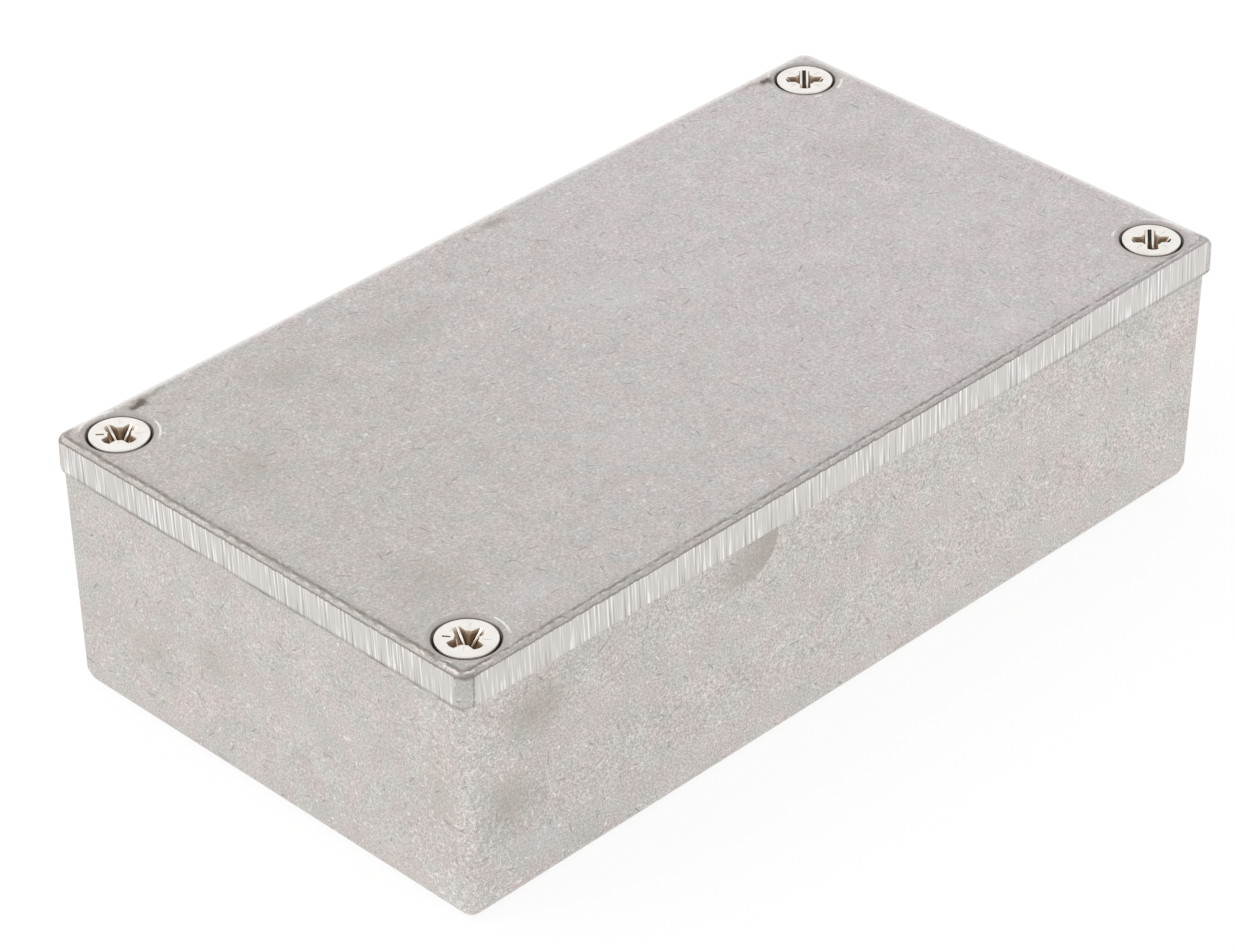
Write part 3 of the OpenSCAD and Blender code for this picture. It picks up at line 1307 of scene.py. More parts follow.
def smudge_effect(name: str, smudges: Sequence[Smudge]) -> Effect:
    """A group that adds up the smudges on one casting.

    Args:
        name: The group's name.
        smudges: The smudges.

    Returns:
        The group, with Place in and Stain out, above 0 where it is darker.
    """
    effect = Effect(name, {"Place": "Vector"}, {"Stain": "Float"})
    sheet = effect.sheet
    wobble = sheet.add("ShaderNodeTexNoise")
    sheet.feed(wobble.inputs["Vector"], effect.given["Place"])
    wobble.inputs["Scale"].default_value = STAIN_SCALE
    wobble.inputs["Detail"].default_value = 4.0
    shift = sheet.scaled(sheet.vector("SUBTRACT", wobble.outputs["Color"], (0.5, 0.5, 0.5)), STAIN_SHIFT)
    total: Any = 0.0
    for smudge in smudges:
        place = sheet.vector("ADD", effect.given["Place"], sheet.scaled(shift, smudge.wobble))
        offset = sheet.vector("DIVIDE", sheet.vector("SUBTRACT", place, smudge.centre), smudge.reach)
        patch = sheet.ramp(sheet.length(offset), 1.0, smudge.core)
        if smudge.fade:
            past, _, _ = sheet.split(offset)
            patch = sheet.math("MULTIPLY", patch, sheet.ramp(past, smudge.fade, STAIN_CENTRE_FADED))
        total = sheet.math("MULTIPLY_ADD", patch, smudge.weight, total)
    effect.put_out("Stain", total)
    return effect


LID_SMUDGES = [
    Smudge((-46.4, 28.3, 31.0), (2.1, 0.9, 2.0), 1.7, 0.3),
    Smudge((-44.0, 28.9, 31.0), (2.6, 0.6, 2.0), 0.7, 0.2),
    Smudge((47.9, 28.3, 31.0), (1.7, 1.0, 2.0), 1.7, 0.3),
    Smudge((45.9, 28.9, 31.0), (2.4, 0.6, 2.0), 0.6, 0.2),
    Smudge((4.1, 28.0, 31.0), (3.0, 0.8, 2.0), 0.6, 0.3),
    Smudge((-32.2, 21.6, 31.0), (7.0, 4.5, 3.0), 0.30),
    Smudge((-46.2, 10.6, 31.0), (6.0, 7.0, 3.0), 0.26),
    Smudge((-17.8, 19.4, 31.0), (8.0, 5.0, 3.0), 0.26),
    Smudge((-47.2, -16.1, 31.0), (7.0, 8.0, 3.0), 0.26),
    Smudge((43.7, 10.1, 31.0), (6.0, 7.0, 3.0), 0.2),
    Smudge((2.5, 8.5, 31.0), (10.0, 7.0, 3.0), -0.35),
    Smudge((39.6, -6.1, 31.0), (9.0, 7.0, 3.0), -0.35),
    Smudge((28.2, -25.4, 31.0), (8.0, 4.0, 3.0), -0.3),
    Smudge((14.3, 3.6, 31.0), (6.0, 5.0, 3.0), -0.25),
    Smudge((-15.3, -13.4, 31.0), (9.0, 7.0, 3.0), -0.25),
    Smudge((-41.6, -24.3, 31.0), (6.0, 4.0, 3.0), -0.3),
    Smudge((40.7, 1.8, 31.0), (0.9, 0.6, 1.0), -0.9, 0.3),
    Smudge((26.7, 20.7, 31.0), (0.8, 0.7, 1.0), -0.9, 0.3),
]
BOX_STAINS_AND_SHADE = [
    Smudge((-16.8, -30.0, 26.5), (4.7, 1.4, 4.7), 0.62, 0.92, 0.12, -0.95),
    Smudge((-19.5, -30.0, 23.5), (5.0, 1.4, 3.2), 0.25),
    # Painted shade, in a stain's brownish tone: these two broad soft patches darken the -Y side towards the
    # front corner.
    Smudge((-46.6, -30.0, 22.2), (7.0, 2.9, 5.5), 0.48),
    Smudge((-50.0, -30.0, 12.5), (6.5, 3.1, 6.0), 0.42),
    Smudge((-45.6, -30.0, 5.6), (5.5, 3.0, 3.0), -0.4),
    Smudge((-56.0, 17.5, 10.2), (3.0, 6.0, 5.0), 0.25),
    Smudge((-56.0, 7.1, 13.5), (3.0, 5.0, 5.0), 0.25),
    Smudge((-56.0, -26.0, 15.0), (3.0, 4.0, 8.0), 0.25),
    Smudge((20.0, 30.0, 12.0), (8.0, 3.0, 5.0), 0.3),
    Smudge((56.0, 10.0, 16.0), (3.0, 6.0, 5.0), 0.3),
]


class Finish(Enum):
    """The names of the record's material slots, one for each finish; nothing here gives them to the
    materials.
    """

    BOX = "cast_box"
    LID = "cast_lid"
    SCREW = "screw_nickel"


def new_material(name: str) -> tuple[bpy.types.Material, NodeSheet, bpy.types.Node]:
    """Starts a material on one Principled shader.

    Args:
        name: The material's name.

    Returns:
        The material, its sheet and its shader.
    """
    material = bpy.data.materials.new(name)
    material.use_nodes = True
    tree = material.node_tree
    tree.nodes.clear()
    sheet = NodeSheet(tree)
    shader = sheet.add("ShaderNodeBsdfPrincipled")
    sheet.feed(sheet.add("ShaderNodeOutputMaterial").inputs["Surface"], shader.outputs[0])
    return material, sheet, shader


@dataclass(frozen=True)
class Breakup:
    """Patches in which a mark shows, where a noise lies above a level.

    Attributes:
        scale: The noise's scale, per millimetre.
        detail: The noise's detail.
        low: The level at which the mark starts to show.
        high: The level from which it shows in full.
    """

    scale: float
    detail: float
    low: float
    high: float

    def mask(self, sheet: NodeSheet, place: Socket) -> Socket:
        """1 where the mark shows and 0 where it doesn't."""
        return sheet.ramp(sheet.noise(place, self.scale, self.detail), self.low, self.high)


@dataclass(frozen=True)
class Wander:
    """An uneven length in millimetres that swings evenly about 0.

    Attributes:
        scale: The noise's scale, per millimetre.
        detail: The noise's detail.
        swing: The whole swing, from the lowest to the highest.
    """

    scale: float
    detail: float
    swing: float

    def length(self, sheet: NodeSheet, place: Socket) -> Socket:
        """The length at a place."""
        noise = sheet.noise(place, self.scale, self.detail)
        return sheet.math("MULTIPLY_ADD", noise, self.swing, -self.swing / 2)


@dataclass(frozen=True)
class ScratchSize:
    """How large the scratches of one kind are, in millimetres, and how many cells hold one."""

    spacing: float
    length: float
    width: float
    share: float

    def mask(self, sheet: NodeSheet, effects: Effects, face: dict[str, Socket]) -> Socket:
        """Lays the scratches on a face.

        Args:
            sheet: The material's sheet.
            effects: The shared effects.
            face: The face map's outputs.

        Returns:
            1 on a scratch and 0 off it.
        """
        scratches = effects.scratches.place(
            sheet,
            Along=face["Along"],
            Up=face["Up"],
            Spacing=self.spacing,
            Length=self.length,
            Width=self.width,
            Share=self.share,
        )
        return scratches["Mask"]


@dataclass(frozen=True)
class Effects:
    """The shared effects, built once."""

    grain: Effect
    face: Effect
    scratches: Effect
    rim: Effect


@dataclass(frozen=True)
class CastFinish:
    """As-cast aluminium, matt and pale, with flecks, scratches and stains, and painted light that brightens
    it towards +X.
    """

    tone: Colour = (0.574, 0.541, 0.519, 1.0)
    fleck_glint_tone: Colour = (0.82, 0.79, 0.77, 1.0)
    dark_tone: Colour = (0.33, 0.305, 0.285, 1.0)
    stain_tone: Colour = (0.41, 0.368, 0.322, 1.0)
    clean_tone: Colour = (0.66, 0.65, 0.64, 1.0)
    warm_tone: Colour = (0.591, 0.533, 0.510, 1.0)
    cool_tone: Colour = (0.559, 0.550, 0.527, 1.0)
    spot_tone: Colour = (0.17, 0.15, 0.135, 1.0)
    far_light_gain: Colour = (1.03, 1.03, 1.035, 1.0)
    fleck_weight: float = 0.7
    fleck_density: float = 0.0
    dash_weight: float = 0.6
    nick_weight: float = 0.6
    dashes: ScratchSize = ScratchSize(4.6, 1.5, 0.16, 0.4)
    scratches: ScratchSize = ScratchSize(3.4, 1.7, 0.17, 0.5)
    nicks: ScratchSize = ScratchSize(1.4, 0.6, 0.14, 0.35)
    tone_share: float = 0.35
    hue_span: tuple[float, float] = (0.35, 0.65)
    far_light_span: tuple[float, float] = (-50.0, 45.0)
    clear_span: tuple[float, float] = (0.45, 0.05)
    spot_span: tuple[float, float] = (1.0, 1.8)
    front_span: tuple[float, float] = (-27.5, -29.0)
    crowd: float = 0.0
    crowd_start: float = -74.0
    crowd_end: float = -83.0
    scratch_weight: float = 0.7
    pit_weight: float = 0.4
    mask_edge: float = 0.1
    mottle_depth: float = 0.22
    grain_depth: float = 0.95
    front_grain: float = 0.0
    roughness: float = 0.52
    bump: float = 0.25
    bump_height: float = 0.02 * MM

    def skin(self, sheet: NodeSheet, place: Socket, effects: Effects, stains: Effect) -> dict[str, Socket]:
        """Colours the bare casting, and paints light on it that grows brighter towards +X.

        Args:
            sheet: The material's sheet.
            place: The place in millimetres.
            effects: The shared effects.
            stains: The stains of this casting, on the box with some painted shade among them.

        Returns:
            Colour, Height and the face map's outputs.
        """
        x, y, _ = sheet.split(place)
        corner = sheet.math("ADD", x, y)
        crowd = sheet.ramp(corner, self.crowd_start, self.crowd_end)
        density = sheet.math("MULTIPLY_ADD", crowd, self.crowd, self.fleck_density)
        grain = effects.grain.place(sheet, Place=place, Density=density)
        face = effects.face.place(sheet, Place=place)
        hue = sheet.ramp(grain["Hue"], *self.hue_span)
        colour = sheet.blend(hue, self.warm_tone, self.cool_tone)
        colour = sheet.blend(self.tone_share, colour, self.tone)
        mottle = sheet.math("MULTIPLY_ADD", grain["Mottle"], self.mottle_depth, 1 - self.mottle_depth / 2)
        front = sheet.ramp(y, *self.front_span)
        coarse = sheet.math("MULTIPLY_ADD", front, self.front_grain, self.grain_depth)
        centred = sheet.math("SUBTRACT", grain["Grain"], 0.5)
        fine = sheet.math("MULTIPLY_ADD", centred, coarse, 1.0)
        colour = sheet.scaled(colour, sheet.math("MULTIPLY", mottle, fine))
        # Painted light: the colour is raised along X, so the casting is brighter towards its +X end.
        gain = sheet.blend(sheet.ramp(x, *self.far_light_span), WHITE, self.far_light_gain)
        colour = sheet.vector("MULTIPLY", colour, gain)
        stain = stains.place(sheet, Place=place)["Stain"]
        clear = sheet.ramp(stain, *self.clear_span)
        colour = sheet.blend(sheet.math("MAXIMUM", stain, 0), colour, self.stain_tone)
        colour = sheet.blend(sheet.ramp(stain, *self.spot_span), colour, self.spot_tone)
        lift = sheet.math("MAXIMUM", sheet.math("MULTIPLY", stain, -1), 0)
        colour = sheet.blend(lift, colour, self.clean_tone)
        # Partly painted highlight: the cast skin's flecks are painted pale and stand for glints of its
        # small facets.
        flecks = sheet.math("MULTIPLY", sheet.math("MULTIPLY", grain["Flecks"], clear), self.fleck_weight)
        pale = self.dashes.mask(sheet, effects, face)
        flecks = sheet.math("MAXIMUM", flecks, sheet.math("MULTIPLY", pale, self.dash_weight))
        colour = sheet.blend(flecks, colour, self.fleck_glint_tone)
        short = self.scratches.mask(sheet, effects, face)
        small = self.nicks.mask(sheet, effects, face)
        dark = sheet.math("MAXIMUM", sheet.math("MULTIPLY", small, self.nick_weight), short)
        dark = sheet.math("MAXIMUM", dark, sheet.math("MULTIPLY", grain["Pits"], self.pit_weight))
        colour = sheet.blend(sheet.math("MULTIPLY", dark, self.scratch_weight), colour, self.dark_tone)
        height = sheet.math("SUBTRACT", grain["Height"], dark)
        return {"Colour": colour, "Height": height, **face}

    def outer(self, sheet: NodeSheet, place: Socket, piece: str, depth: float) -> Socket:
        """Masks what lies within a depth of a casting's sides.

        Args:
            sheet: The material's sheet.
            place: The place in millimetres.
            piece: The casting's node.
            depth: How far in the mask goes, in millimetres.

        Returns:
            1 at the sides and 0 inside.
        """
        _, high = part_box(piece)
        x, y, _ = sheet.split(place)
        past_x = sheet.math("SUBTRACT", sheet.math("ABSOLUTE", x), high.x * PER_MM)
        past_y = sheet.math("SUBTRACT", sheet.math("ABSOLUTE", y), high.y * PER_MM)
        return sheet.ramp(sheet.math("MAXIMUM", past_x, past_y), -depth - self.mask_edge, -depth)

    def relief(self, sheet: NodeSheet, height: Socket) -> Socket:
        """Turns a height into a bumped normal."""
        bump = sheet.add("ShaderNodeBump")
        bump.inputs["Strength"].default_value = self.bump
        bump.inputs["Distance"].default_value = self.bump_height
        sheet.feed(bump.inputs["Height"], height)
        return bump.outputs["Normal"]


@dataclass(frozen=True)
class BoxFinish(CastFinish):
    """The box's finish: bare casting, a little paler than the lid and more flecked, with painted shade on
    its outer faces just below the lid's joint.
    """

    tone: Colour = (0.618, 0.583, 0.558, 1.0)
    warm_tone: Colour = (0.638, 0.574, 0.552, 1.0)
    cool_tone: Colour = (0.602, 0.597, 0.566, 1.0)
    fleck_glint_tone: Colour = (0.92, 0.89, 0.87, 1.0)
    joint_shade_tone: Colour = (0.22, 0.20, 0.185, 1.0)
    fleck_weight: float = 0.75
    fleck_density: float = -0.035
    crowd: float = 0.09
    grain_depth: float = 1.15
    front_grain: float = 0.3
    joint_shade: float = 0.8
    joint_hidden: float = 0.2
    joint_depth: float = 0.5
    joint_wander: Wander = Wander(0.6, 3, 0.3)
    joint_breaks: Breakup = Breakup(0.25, 3, 0.35, 0.6)
    joint_left: tuple[float, float] = (1.5, 0.5)
    joint_far: tuple[float, float] = (0.0, 45.0)
    joint_far_weight: float = 0.6
    rim_clear: tuple[float, float] = (0.01, 0.04)

    def build(self, effects: Effects) -> bpy.types.Material:
        """Makes the material.

        Args:
            effects: The shared effects.

        Returns:
            The material.
        """
        _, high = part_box("box")
        rim = high.z * PER_MM
        material, sheet, shader = new_material("Cast aluminium box")
        place = sheet.place_in_mm()
        skin = self.skin(sheet, place, effects, smudge_effect("Box stains and shade", BOX_STAINS_AND_SHADE))
        x, _, z = sheet.split(place)
        # Painted shade: a broken dark band on the outer faces within half a millimetre below the rim, where
        # the lid meets the box, on the -X end and growing towards +X.
        wander = self.joint_wander.length(sheet, place)
        shade = sheet.ramp(sheet.math("ADD", z, wander), rim - self.joint_depth, rim - self.joint_hidden)
        left = sheet.ramp(x, *(inset - high.x * PER_MM for inset in self.joint_left))
        far = sheet.math("MULTIPLY", sheet.ramp(x, *self.joint_far), self.joint_far_weight)
        broken = self.joint_breaks.mask(sheet, place)
        weight = sheet.math("MULTIPLY", sheet.math("MAXIMUM", left, far), broken)
        shade = sheet.math("MULTIPLY", shade, sheet.math("MULTIPLY", weight, self.joint_shade))
        upright = sheet.ramp(z, *(rim - drop for drop in self.rim_clear))
        outer = self.outer(sheet, place, "box", self.joint_depth)
        shade = sheet.math("MULTIPLY", shade, sheet.math("MULTIPLY", outer, upright))
        sheet.feed(shader.inputs["Base Color"], sheet.blend(shade, skin["Colour"], self.joint_shade_tone))
        sheet.feed(shader.inputs["Normal"], self.relief(sheet, skin["Height"]))
        shader.inputs["Metallic"].default_value = 1.0
        shader.inputs["Roughness"].default_value = self.roughness
        return material


@dataclass(frozen=True)
class LidFinish(CastFinish):
    """The lid's finish: bare casting with linished sides, painted shade along the creases, near edges, foot
    and screw seats, and painted highlights on its rounded edges and seat rims.
    """

    # Painted light: the lid brightens more strongly towards +X than the box.
    far_light_gain: Colour = (1.07, 1.07, 1.10, 1.0)
    linish_tone: Colour = (0.66, 0.635, 0.61, 1.0)
    line_and_highlight_tone: Colour = (0.98, 0.97, 0.95, 1.0)
    groove_tone: Colour = (0.42, 0.40, 0.38, 1.0)
    shade_tone: Colour = (0.25, 0.23, 0.21, 1.0)
    ridge_highlight_tone: Colour = (0.86, 0.77, 0.74, 1.0)
    crevice_shade_tone: Colour = (0.16, 0.145, 0.135, 1.0)
    dish_shade_tone: Colour = (0.43, 0.385, 0.365, 1.0)
    line_scale: float = 3.4
    line_run: float = 0.03
    line_tilt: float = 0.05
    linish_roughness: float = 0.34
    land_depth: float = 0.02
    land_drop: float = 0.5
    margin: float = 0.09
    margin_left: float = 0.17
    crease_inset: float = 0.72
    ridge_inset: float = 0.40
    corner_strip: float = 1.5
    seat_radius: float = 3.5
    dish_radius: float = 4.15
    lip_depth: float = 1.5
    joint_height: float = 0.5
    joint_foot: float = 0.15
    joint_weight: float = 0.8
    joint_reach: float = 0.6
    joint_faint: float = 0.85
    joint_faint_span: tuple[float, float] = (34.0, 10.0)
    joint_wander: Wander = Wander(0.6, 3, 0.16)
    corner: float = 1.7
    climb_start: float = 20.0
    ragged: Wander = Wander(2.0, 4, 0.7)
    margin_wander: Wander = Wander(0.5, 3, 0.2)
    margin_rough: Wander = Wander(2.4, 3, 0.5)
    margin_span: tuple[float, float] = (2.6, 0.8)
    crease_width: float = 0.26
    crease_breaks: Breakup = Breakup(0.9, 4, 0.3, 0.6)
    ridge_width: float = 0.2
    ridge_breaks: Breakup = Breakup(0.9, 3, 0.40, 0.6)
    far_highlight_span: tuple[float, float] = (1.3, 0.5)
    far_highlight_weight: float = 0.55
    lower_width: float = 0.17
    lower_fade: tuple[float, float] = (28.0, 42.0)
    strip_width: float = 0.25
    strip_shade_weight: float = 0.55
    dish_shade_weight: float = 0.8
    seat_rim_width: float = 0.2
    seat_rim_highlight_weight: float = 0.7
    seat_highlight_breaks: Breakup = Breakup(0.35, 2, 0.48, 0.62)
    crevice_width: float = 0.08
    line_wear: Breakup = Breakup(0.12, 2, 0.3, 0.6)
    white_lines: tuple[float, float] = (0.53, 0.61)
    groove_lines: tuple[float, float] = (0.44, 0.34)
    groove_weight: float = 0.9
    line_relief: float = 0.8

    def build(self, effects: Effects) -> bpy.types.Material:
        """Makes the material.

        Args:
            effects: The shared effects.

        Returns:
            The material.
        """
        _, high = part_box("lid")
        half_x, half_y, _ = (value * PER_MM for value in high)
        material, sheet, shader = new_material("Cast aluminium lid")
        place = sheet.place_in_mm()
        skin = self.skin(sheet, place, effects, smudge_effect("Lid stains", LID_SMUDGES))
        x, y, z = sheet.split(place)
        colour = self._seated(sheet, skin["Colour"], place)
        ragged = self.ragged.length(sheet, place)
        climb = sheet.math("MULTIPLY", sheet.ramp(x, self.climb_start, half_x), self.land_drop - 0.1)
        height = sheet.math("SUBTRACT", sheet.math("MULTIPLY_ADD", ragged, 0.5, z), climb)
        rim = effects.rim.place(sheet, Place=place, Half=(half_x, half_y, 0), Corner=self.corner)
        colour = self._creased(sheet, colour, place, rim["Inset"], height)
        land = self._land(sheet, ragged, x, y, height)
        lines = self._lines(sheet, skin, z)
        grouped = self.line_wear.mask(sheet, sheet.join(skin["Along"], 0, 0))
        grouped = sheet.math("MULTIPLY_ADD", grouped, 0.6, 0.4)
        white = sheet.math("MULTIPLY", sheet.ramp(lines, *self.white_lines), grouped)
        linished = sheet.blend(white, self.linish_tone, self.line_and_highlight_tone)
        grooves = sheet.math("MULTIPLY", sheet.ramp(lines, *self.groove_lines), self.groove_weight)
        linished = sheet.blend(grooves, linished, self.groove_tone)
        finished = sheet.blend(land, colour, linished)
        # Painted shade in the gap between the lid's foot and the box.
        finished = sheet.blend(self._joint_shade_line(sheet, place, x, y, z), finished, self.shade_tone)
        sheet.feed(shader.inputs["Base Color"], finished)
        sheet.feed(shader.inputs["Roughness"], sheet.mix_value(land, self.roughness, self.linish_roughness))
        relief = sheet.mix_value(land, skin["Height"], sheet.math("MULTIPLY", lines, self.line_relief))
        sheet.feed(shader.inputs["Normal"], self.relief(sheet, relief))
        shader.inputs["Metallic"].default_value = 1.0
        return material

    def _seated(self, sheet: NodeSheet, colour: Socket, place: Socket) -> Socket:
        """Paints shade in the screws' seats and in the dish round each, and a painted highlight on the
        dish's rim.

        Args:
            sheet: The material's sheet.
            colour: The bare casting's colour.
            place: The place in millimetres.

        Returns:
            The colour with the four seats.
        """
        reach_x, reach_y = ScrewPattern().reach()
        x, y, _ = sheet.split(place)
        gap_x = sheet.math("MULTIPLY_ADD", sheet.math("SIGN", x), -reach_x * PER_MM, x)
        gap_y = sheet.math("MULTIPLY_ADD", sheet.math("SIGN", y), -reach_y * PER_MM, y)
        away = sheet.length(sheet.join(gap_x, gap_y, 0))
        width = self.seat_rim_width
        # Painted shade in the shallow dish round each seat.
        dish = sheet.ramp(away, self.dish_radius + width, self.seat_radius - width)
        dish = sheet.math("MULTIPLY", dish, self.dish_shade_weight)
        colour = sheet.blend(dish, colour, self.dish_shade_tone)
        # Painted highlight: a pale line on the dish's outer rim, broken into patches.
        highlight_patches = self.seat_highlight_breaks.mask(sheet, place)
        rim = sheet.math("MULTIPLY", self._line(sheet, away, self.dish_radius + 0.05, width), highlight_patches)
        colour = sheet.blend(sheet.math("MULTIPLY", rim, self.seat_rim_highlight_weight), colour, self.line_and_highlight_tone)
        # Painted shade in the crevice between the screw head and its seat, heavier on two opposite sides.
        across = sheet.math("ABSOLUTE", sheet.math("DIVIDE", sheet.math("ADD", gap_x, gap_y), away))
        side = sheet.math("MULTIPLY_ADD", sheet.ramp(across, 1.25, 0.6), 0.7, 0.15)
        edge = sheet.ramp(away, self.seat_radius + self.crevice_width, self.seat_radius)
        crevice = sheet.math("MULTIPLY", edge, side)
        return sheet.blend(crevice, colour, self.crevice_shade_tone)

    def _creased(
        self, sheet: NodeSheet, colour: Socket, place: Socket, inset: Socket, height: Socket
    ) -> Socket:
        """Paints shade on the top face's near margin, along the creases and on the near rounded edges, and
        paints highlights along the rounded edge's ridge and on the far edges.

        Args:
            sheet: The material's sheet.
            colour: The bare casting's colour.
            place: The place in millimetres.
            inset: How far the place lies inside the lid's outline.
            height: The uneven height that the lands end by.

        Returns:
            The colour with its painted shade and painted highlights.
        """
        _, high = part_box("lid")
        half_x, half_y, top = (value * PER_MM for value in high)
        x, y, z = sheet.split(place)
        wander = self.margin_wander.length(sheet, place)
        rough = self.margin_rough.length(sheet, place)
        wandered = sheet.math("ADD", inset, sheet.math("ADD", wander, rough))
        left = sheet.ramp(x, 3 - half_x, 1 - half_x)
        near = sheet.math("MAXIMUM", left, sheet.ramp(y, 3 - half_y, 1 - half_y))
        # Painted shade: the top face darkens towards its -X and -Y edges, more on -X.
        margin = sheet.ramp(wandered, *self.margin_span)
        margin = sheet.math("MULTIPLY", margin, sheet.ramp(z, top - 0.2, top - 0.05))
        margin = sheet.math("MULTIPLY", margin, near)
        depth = sheet.math("MULTIPLY_ADD", left, self.margin_left - self.margin, self.margin)
        colour = sheet.blend(sheet.math("MULTIPLY", margin, depth), colour, self.shade_tone)
        # Painted shade: a broken dark line in the crease where the top face meets the rounded edge, on the
        # -X and -Y sides, stronger at the front corner.
        broken = self.crease_breaks.mask(sheet, place)
        upper = self._line(sheet, wandered, self.crease_inset, self.crease_width)
        upper = sheet.math("MULTIPLY", upper, sheet.ramp(z, top - 0.35, top - 0.1))
        from_corner = sheet.math("ADD", sheet.math("ADD", x, y), half_x + half_y)
        at_corner = sheet.ramp(from_corner, 9.0, 2.0)
        weight = sheet.math("MULTIPLY_ADD", left, -0.1, sheet.math("MULTIPLY_ADD", at_corner, 0.25, 0.75))
        weight = sheet.math("MULTIPLY", weight, sheet.math("MULTIPLY", near, broken))
        upper = sheet.math("MULTIPLY", upper, weight)
        colour = sheet.blend(upper, colour, self.shade_tone)
        on_edge = sheet.ramp(z, top - 0.75, top - 0.55)
        # Painted highlight: a pale pinkish line along the ridge of the rounded edge, broken into patches
        # and strongest at the front corner.
        ridge = self._line(sheet, wandered, self.ridge_inset, self.ridge_width)
        ridge = sheet.math("MULTIPLY", ridge, on_edge)
        highlight_patches = self.ridge_breaks.mask(sheet, place)
        strong = sheet.math("MULTIPLY_ADD", at_corner, 0.45, 0.5)
        ridge = sheet.math("MULTIPLY", ridge, sheet.math("MULTIPLY", highlight_patches, strong))
        # Painted shade on the rounded edges of the -X and -Y sides, darkest on -X.
        shaded = sheet.math("MULTIPLY_ADD", left, 0.36, sheet.math("MULTIPLY", near, 0.08))
        shaded = sheet.math("MULTIPLY", shaded, sheet.ramp(wandered, 1.1, 0.75))
        colour = sheet.blend(sheet.math("MULTIPLY", on_edge, shaded), colour, self.shade_tone)
        # Painted highlight: the rounded edges of the +X and +Y sides are paled towards white. The same pale
        # colour also draws the linished lines.
        pale = sheet.ramp(wandered, *self.far_highlight_span)
        pale = sheet.math("MULTIPLY", pale, sheet.math("SUBTRACT", 1.0, near))
        colour = sheet.blend(sheet.math("MULTIPLY", pale, self.far_highlight_weight), colour, self.line_and_highlight_tone)
        colour = sheet.blend(ridge, colour, self.ridge_highlight_tone)
        # Painted shade: a dark line in the crease just above the linished land, on the -X and -Y sides,
        # fading towards +X.
        lower = self._line(sheet, height, top - self.land_drop + 0.1, self.lower_width)
        outer = sheet.ramp(inset, 0.4, 0.25)
        lower = sheet.math("MULTIPLY", lower, sheet.math("MULTIPLY", outer, near))
        faded = sheet.math("MULTIPLY_ADD", sheet.ramp(x, *self.lower_fade), -0.45, 0.7)
        lower = sheet.math("MULTIPLY", lower, faded)
        colour = sheet.blend(lower, colour, self.shade_tone)
        # Painted shade: a dark crease line down the -Y side, close to the front corner.
        strip = sheet.math("ADD", sheet.math("ADD", x, half_x), rough)
        strip = self._line(sheet, strip, self.corner_strip - 0.2, self.strip_width)
        strip = sheet.math("MULTIPLY", strip, sheet.ramp(y, 0.3 - half_y, 0.1 - half_y))
        return sheet.blend(sheet.math("MULTIPLY", strip, self.strip_shade_weight), colour, self.shade_tone)

    def _line(self, sheet: NodeSheet, inset: Socket, centre: float, width: float) -> Socket:
        """A soft line along one inset."""
        gap = sheet.math("ABSOLUTE", sheet.math("SUBTRACT", inset, centre))
        return sheet.ramp(gap, width, 0.25 * width)

    def _joint_shade_line(self, sheet: NodeSheet, place: Socket, x: Socket, y: Socket, z: Socket) -> Socket:
        """Masks the painted shade of the gap along the lid's foot, faint along part of one long side."""
        low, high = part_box("lid")
        foot = low.z * PER_MM + self.lip_depth
        near = -high.y * PER_MM
        wander = self.joint_wander.length(sheet, place)
        line = sheet.ramp(sheet.math("ADD", z, wander), foot + self.joint_height, foot + self.joint_foot)
        faint = sheet.ramp(x, *self.joint_faint_span)
        faint = sheet.math("MULTIPLY", faint, sheet.ramp(y, near + 1, near))
        faint = sheet.math("MULTIPLY", faint, sheet.ramp(x, -high.x * PER_MM + 1, -high.x * PER_MM + 3))
        uneven = sheet.math("MULTIPLY_ADD", sheet.noise(place, 0.3, 3), 0.8, 0.2)
        weight = sheet.math("MULTIPLY_ADD", faint, -self.joint_faint, 1.0)
        weight = sheet.math("MULTIPLY", weight, uneven)
        weight = sheet.math("MULTIPLY", weight, self.outer(sheet, place, "lid", self.joint_reach))
        return sheet.math("MULTIPLY", line, sheet.math("MULTIPLY", weight, self.joint_weight))

    def _land(self, sheet: NodeSheet, ragged: Socket, x: Socket, y: Socket, height: Socket) -> Socket:
        """Masks the linished lands, which end raggedly above and beside the corners.

        Args:
            sheet: The material's sheet.
            ragged: A small uneven length.
            x: The place along X.
            y: The place along Y.
            height: The uneven height that the lands end by.

        Returns:
            1 on a land and 0 off it.
        """
        _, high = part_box("lid")
        half_x, half_y, top = (value * PER_MM for value in high)
        past_x = sheet.math("SUBTRACT", sheet.math("ABSOLUTE", x), half_x)
        past_y = sheet.math("SUBTRACT", sheet.math("ABSOLUTE", y), half_y)
        flat = sheet.math("GREATER_THAN", sheet.math("MAXIMUM", past_x, past_y), -self.land_depth)
        past_middle = sheet.math("MAXIMUM", sheet.ramp(x, 0.0, 20.0), sheet.ramp(y, 0.0, 20.0))
        ragged = sheet.math("MULTIPLY_ADD", past_middle, -0.45, ragged)
        nearness = sheet.math("ADD", sheet.math("MINIMUM", past_x, past_y), ragged)
        off_corner = sheet.ramp(nearness, 0.15 - self.corner_strip, -0.15 - self.corner_strip)
        below = sheet.ramp(height, top - self.land_drop + 0.08, top - self.land_drop - 0.04)
        return sheet.math("MULTIPLY", sheet.math("MULTIPLY", flat, off_corner), below)

    def _lines(self, sheet: NodeSheet, skin: dict[str, Socket], z: Socket) -> Socket:
        """The leaning lines that the belt leaves on the lands."""
        lean = sheet.mix_value(skin["End"], self.line_tilt, -self.line_tilt)
        along = sheet.math("MULTIPLY_ADD", z, lean, skin["Along"])
        run = sheet.join(along, sheet.math("MULTIPLY", z, self.line_run), 0)
        return sheet.noise(run, self.line_scale, 3)


